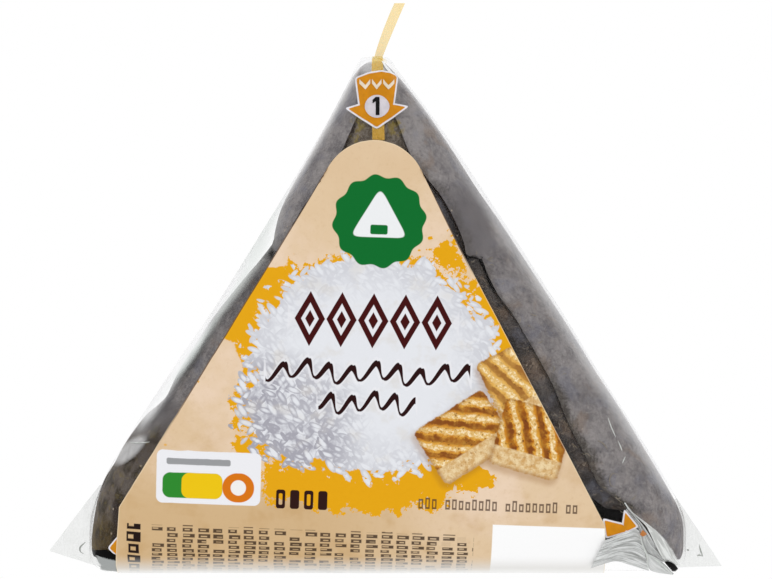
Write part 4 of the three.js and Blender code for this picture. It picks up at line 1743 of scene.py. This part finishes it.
        # White strips along creases and fold edges of the film: the creases are real, their white is
        # painted highlight.
        bright = (
            [(34.6, 25.6), (35.1, 24.2), (35.8, 22.6)],
            [(36.2, 22), (36.6, 21), (36.8, 20.5)],
            [(37.3, 19.6), (37, 19), (36.8, 18.6)],
            [(-40.7, 21.4), (-39, 21.6), (-37.4, 21.9)],
        )
        folds = (
            [(39.4, 7.3), (39.8, 5.9), (40.5, 4.5), (40.8, 3.4), (41.2, 2)],
            [(40.5, 4.6), (42.1, 3.6), (43.2, 2.7), (44.3, 1.7), (45, 1)],
        )
        bm = bmesh.new()
        add_lines(bm, film_at, bright, swelling(0.03, 0.1), 0.08)
        add_lines(bm, film_at, folds, swelling(0.06, 0.14), 0.85, 30)
        thicken(bm, PRINT_THICKNESS)
        add_piece("film_creases", bm, ink_and_highlight_finish("crease_highlight", srgb(208, 212, 208)))
        # Painted shade and reflection: grey lines along creases in the ears.
        grey = (
            [(50, 4), (50.2, 3.1), (50.6, 2)],
            [(50.6, 2), (50.1, 2.2), (49.7, 2.1)],
            [(48, 3.1), (48.4, 3)],
            [(-48.8, 2.4), (-49.4, 2.8), (-49.4, 3.5), (-48.6, 4.3)],
        )
        bm = bmesh.new()
        add_lines(bm, ear_at, grey, lambda along: 0.06 + 0.2 * math.sin(2.6 * along) ** 2, 0.1)
        thicken(bm, PRINT_THICKNESS)
        add_piece("ear_creases", bm, ink_and_highlight_finish("crease_grey", srgb(178, 182, 177)))


class AddLabel(RicePackOperator, Operator):
    """Add the printed paper label over the front and under the base"""

    bl_idname = "rice_pack.add_label"
    bl_label = "Label"

    def execute(self, context):
        def store(across, along):
            x, height = label_spot(across, along)
            left, right = label_spot(0, along)[0], label_spot(1, along)[0]
            inset = min(x - left, right - x, label_spot(across, 1)[1] - height)
            return Vector((x, height, inset))

        bm = sheet_mesh(*LABEL_GRID, label_place, PAPER_THICKNESS, "paper_place", store)
        add_piece("label_paper", bm, paper_finish(), ["label"])
        return {"FINISHED"}


class AddTearStrip(RicePackOperator, Operator):
    """Add the tear strip over the top of the pack, and its free pull tab"""

    bl_idname = "rice_pack.add_tear_strip"
    bl_label = "Tear Strip"

    def execute(self, context):
        finish = tape_finish()
        route = along_legs(tape_route())
        bm = sheet_mesh(*TAPE_GRID, ribbon_place(route), TAPE_THICKNESS)
        add_piece("tear_tape", bm, finish, ["tear_strip"])
        bm = sheet_mesh(*TAB_GRID, tab_place, TAPE_THICKNESS)
        add_piece("pull_tab", bm, finish, ["tear_strip"])
        return {"FINISHED"}


class AddArrows(RicePackOperator, Operator):
    """Add the arrows printed on the film at the top and at both bottom corners"""

    bl_idname = "rice_pack.add_arrows"
    bl_label = "Arrows"

    def execute(self, context):
        body = [
            (-4.2, 74.5), (0.6, 74.5), (1.15, 79.1), (0.4, 79.55), (-1, 79.8), (-3, 79.5), (-4.7, 78.8),
        ]
        head = [(-1.75, 71.4), (2.6, 74.4), (0.7, 74.8), (-4.2, 74.75), (-6, 74.15)]
        right = [
            [(34, 9.75), (34.4, 7.2), (37.4, 8), (36.95, 9)],
            [(37.4, 8), (39, 8.7), (37.2, 11), (36.95, 9)],
        ]
        left = [[(-43.75, 5), (-42.3, 3.75), (-42.3, 6.85)]]
        inks = [body, head, *right, *left]
        rims = [rounded(grown(shape, 0.28), 0.5) for shape in inks]
        add_print("arrow_rim", rims, RIM_RISE, srgb(232, 230, 236))
        add_print("arrow_ink", [rounded(shape, 0.3) for shape in inks], INK_RISE, colours().arrow)
        add_print("arrow_disc", [disc((-1.72, 74.55), (1.85, 1.74))], DISC_RISE, srgb(214, 208, 214))
        numeral = [
            [(-1.9, 73.2), (-1.32, 73.2), (-1.32, 75.95), (-1.9, 75.95)],
            [(-2.4, 75), (-1.9, 75.3), (-1.9, 75.95), (-2.4, 75.5)],
        ]
        add_print("arrow_numeral", numeral, NUMERAL_RISE, srgb(8, 7, 8), FINE_PRINT_CELL)
        fold = [(39.35, 7.35), (39.9, 7.05), (40.45, 7.4), (39.75, 8.15)]
        fold_rim = [rounded(fold, 0.12)]
        add_print("arrow_fold", fold_rim, FOLD_PRINT_RISE, srgb(190, 122, 66), FINE_PRINT_CELL)
        chevrons = []
        low, high, broad, reach = 77.1, 78, 0.66, 0.74
        for centre in (-3.5, -1.75, 0.0):
            left, right = centre - reach, centre + reach
            chevrons += [
                [(centre, low), (centre, low + broad), (left, high + broad), (left, high)],
                [(centre, low), (right, high), (right, high + broad), (centre, low + broad)],
            ]
        add_print("arrow_chevrons", chevrons, DISC_RISE, srgb(236, 222, 200), FINE_PRINT_CELL)
        return {"FINISHED"}


class AddStage(RicePackOperator, Operator):
    """Add the floor, the light and the camera"""

    bl_idname = "rice_pack.add_stage"
    bl_label = "Stage"

    def execute(self, context):
        self.add_floor()
        self.set_world(context)
        self.add_lights()
        self.add_camera(context)
        context.scene.view_settings.view_transform = "Standard"
        return {"FINISHED"}

    @staticmethod
    def add_floor():
        """A white floor that gives off its own light, so that it shows no shadow."""
        bm = bmesh.new()
        bmesh.ops.create_grid(bm, x_segments=1, y_segments=1, size=FLOOR_REACH)
        mesh = bpy.data.meshes.new("floor")
        bm.to_mesh(mesh)
        bm.free()
        finish = Finish("floor_white")
        shader = finish.node("ShaderNodeEmission", {}, {"Color": rgba((1, 1, 1)), "Strength": 1.0})
        mesh.materials.append(finish.done(shader))
        floor = bpy.data.objects.new("floor", mesh)
        bpy.context.scene.collection.objects.link(floor)
        floor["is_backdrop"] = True

    @staticmethod
    def set_world(context):
        """Even white light from all round."""
        world = bpy.data.worlds.new("studio")
        world.use_nodes = True
        background = world.node_tree.nodes["Background"]
        background.inputs[0].default_value = (1.0, 1.0, 1.0, 1.0)
        background.inputs[1].default_value = 1.0
        context.scene.world = world

    @staticmethod
    def add_lights():
        """Two weak square lamps in front, aimed at the middle of the pack."""
        lamps = (
            ("key", (-0.45, -0.55, 0.6), 0.45, 0.12),
            ("fill", (0.6, -0.45, 0.35), 0.4, 0.05),
        )
        for name, place, size, power in lamps:
            light = bpy.data.lights.new(name, "AREA")
            light.shape = "SQUARE"
            light.size = size
            light.energy = power
            lamp = bpy.data.objects.new(name, light)
            lamp.location = place
            aim = Vector((0, 0, 0.04)) - Vector(place)
            lamp.rotation_euler = aim.to_track_quat("-Z", "Y").to_euler()
            bpy.context.scene.collection.objects.link(lamp)

    @staticmethod
    def add_camera(context):
        data = bpy.data.cameras.new("camera")
        data.lens = LENS
        data.sensor_width = SENSOR
        camera = bpy.data.objects.new("camera", data)
        away = Vector((0, -math.cos(CAMERA_RISE), math.sin(CAMERA_RISE)))
        camera.location = (CAMERA_TARGET + away * CAMERA_DISTANCE) * MM
        camera.rotation_euler = (-away).to_track_quat("-Z", "Y").to_euler()
        data.clip_end = FAR_CLIP
        context.scene.collection.objects.link(camera)
        context.scene.camera = camera


BUILD_STEPS = (
    AddRiceBall, AddFilm, AddGatheredFilm, AddTearStrip, AddArrows, AddLabel, AddStage,
)


class RicePackPanel(Panel):
    """Lists the steps of the build and their settings."""

    bl_idname = "VIEW3D_PT_rice_pack"
    bl_label = "Rice Ball"
    bl_space_type = "VIEW_3D"
    bl_region_type = "UI"
    bl_category = "Rice Ball"

    def draw(self, context):
        for group in (context.scene.rice_pack_colours, context.scene.rice_pack_sizes):
            box = self.layout.box()
            for name in group.__annotations__:
                box.prop(group, name)
        for step in BUILD_STEPS:
            self.layout.operator(step.bl_idname)


CLASSES = (RicePackColours, RicePackSizes, *BUILD_STEPS, RicePackPanel)


def register():
    for item in CLASSES:
        bpy.utils.register_class(item)
    bpy.types.Scene.rice_pack_colours = PointerProperty(type=RicePackColours)
    bpy.types.Scene.rice_pack_sizes = PointerProperty(type=RicePackSizes)


def unregister():
    del bpy.types.Scene.rice_pack_sizes
    del bpy.types.Scene.rice_pack_colours
    for item in reversed(CLASSES):
        bpy.utils.unregister_class(item)


def main():
    register()
    bpy.ops.rice_pack.add_ball()
    bpy.ops.rice_pack.add_film()
    bpy.ops.rice_pack.add_gathered_film()
    bpy.ops.rice_pack.add_tear_strip()
    bpy.ops.rice_pack.add_arrows()
    bpy.ops.rice_pack.add_label()
    bpy.ops.rice_pack.add_stage()
    boxes = {"cad": CAD_BOX, "visual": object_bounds()}
    {name: [list(corner) for corner in box] for name, box in boxes.items()}


if __name__ == "__main__":
    main()
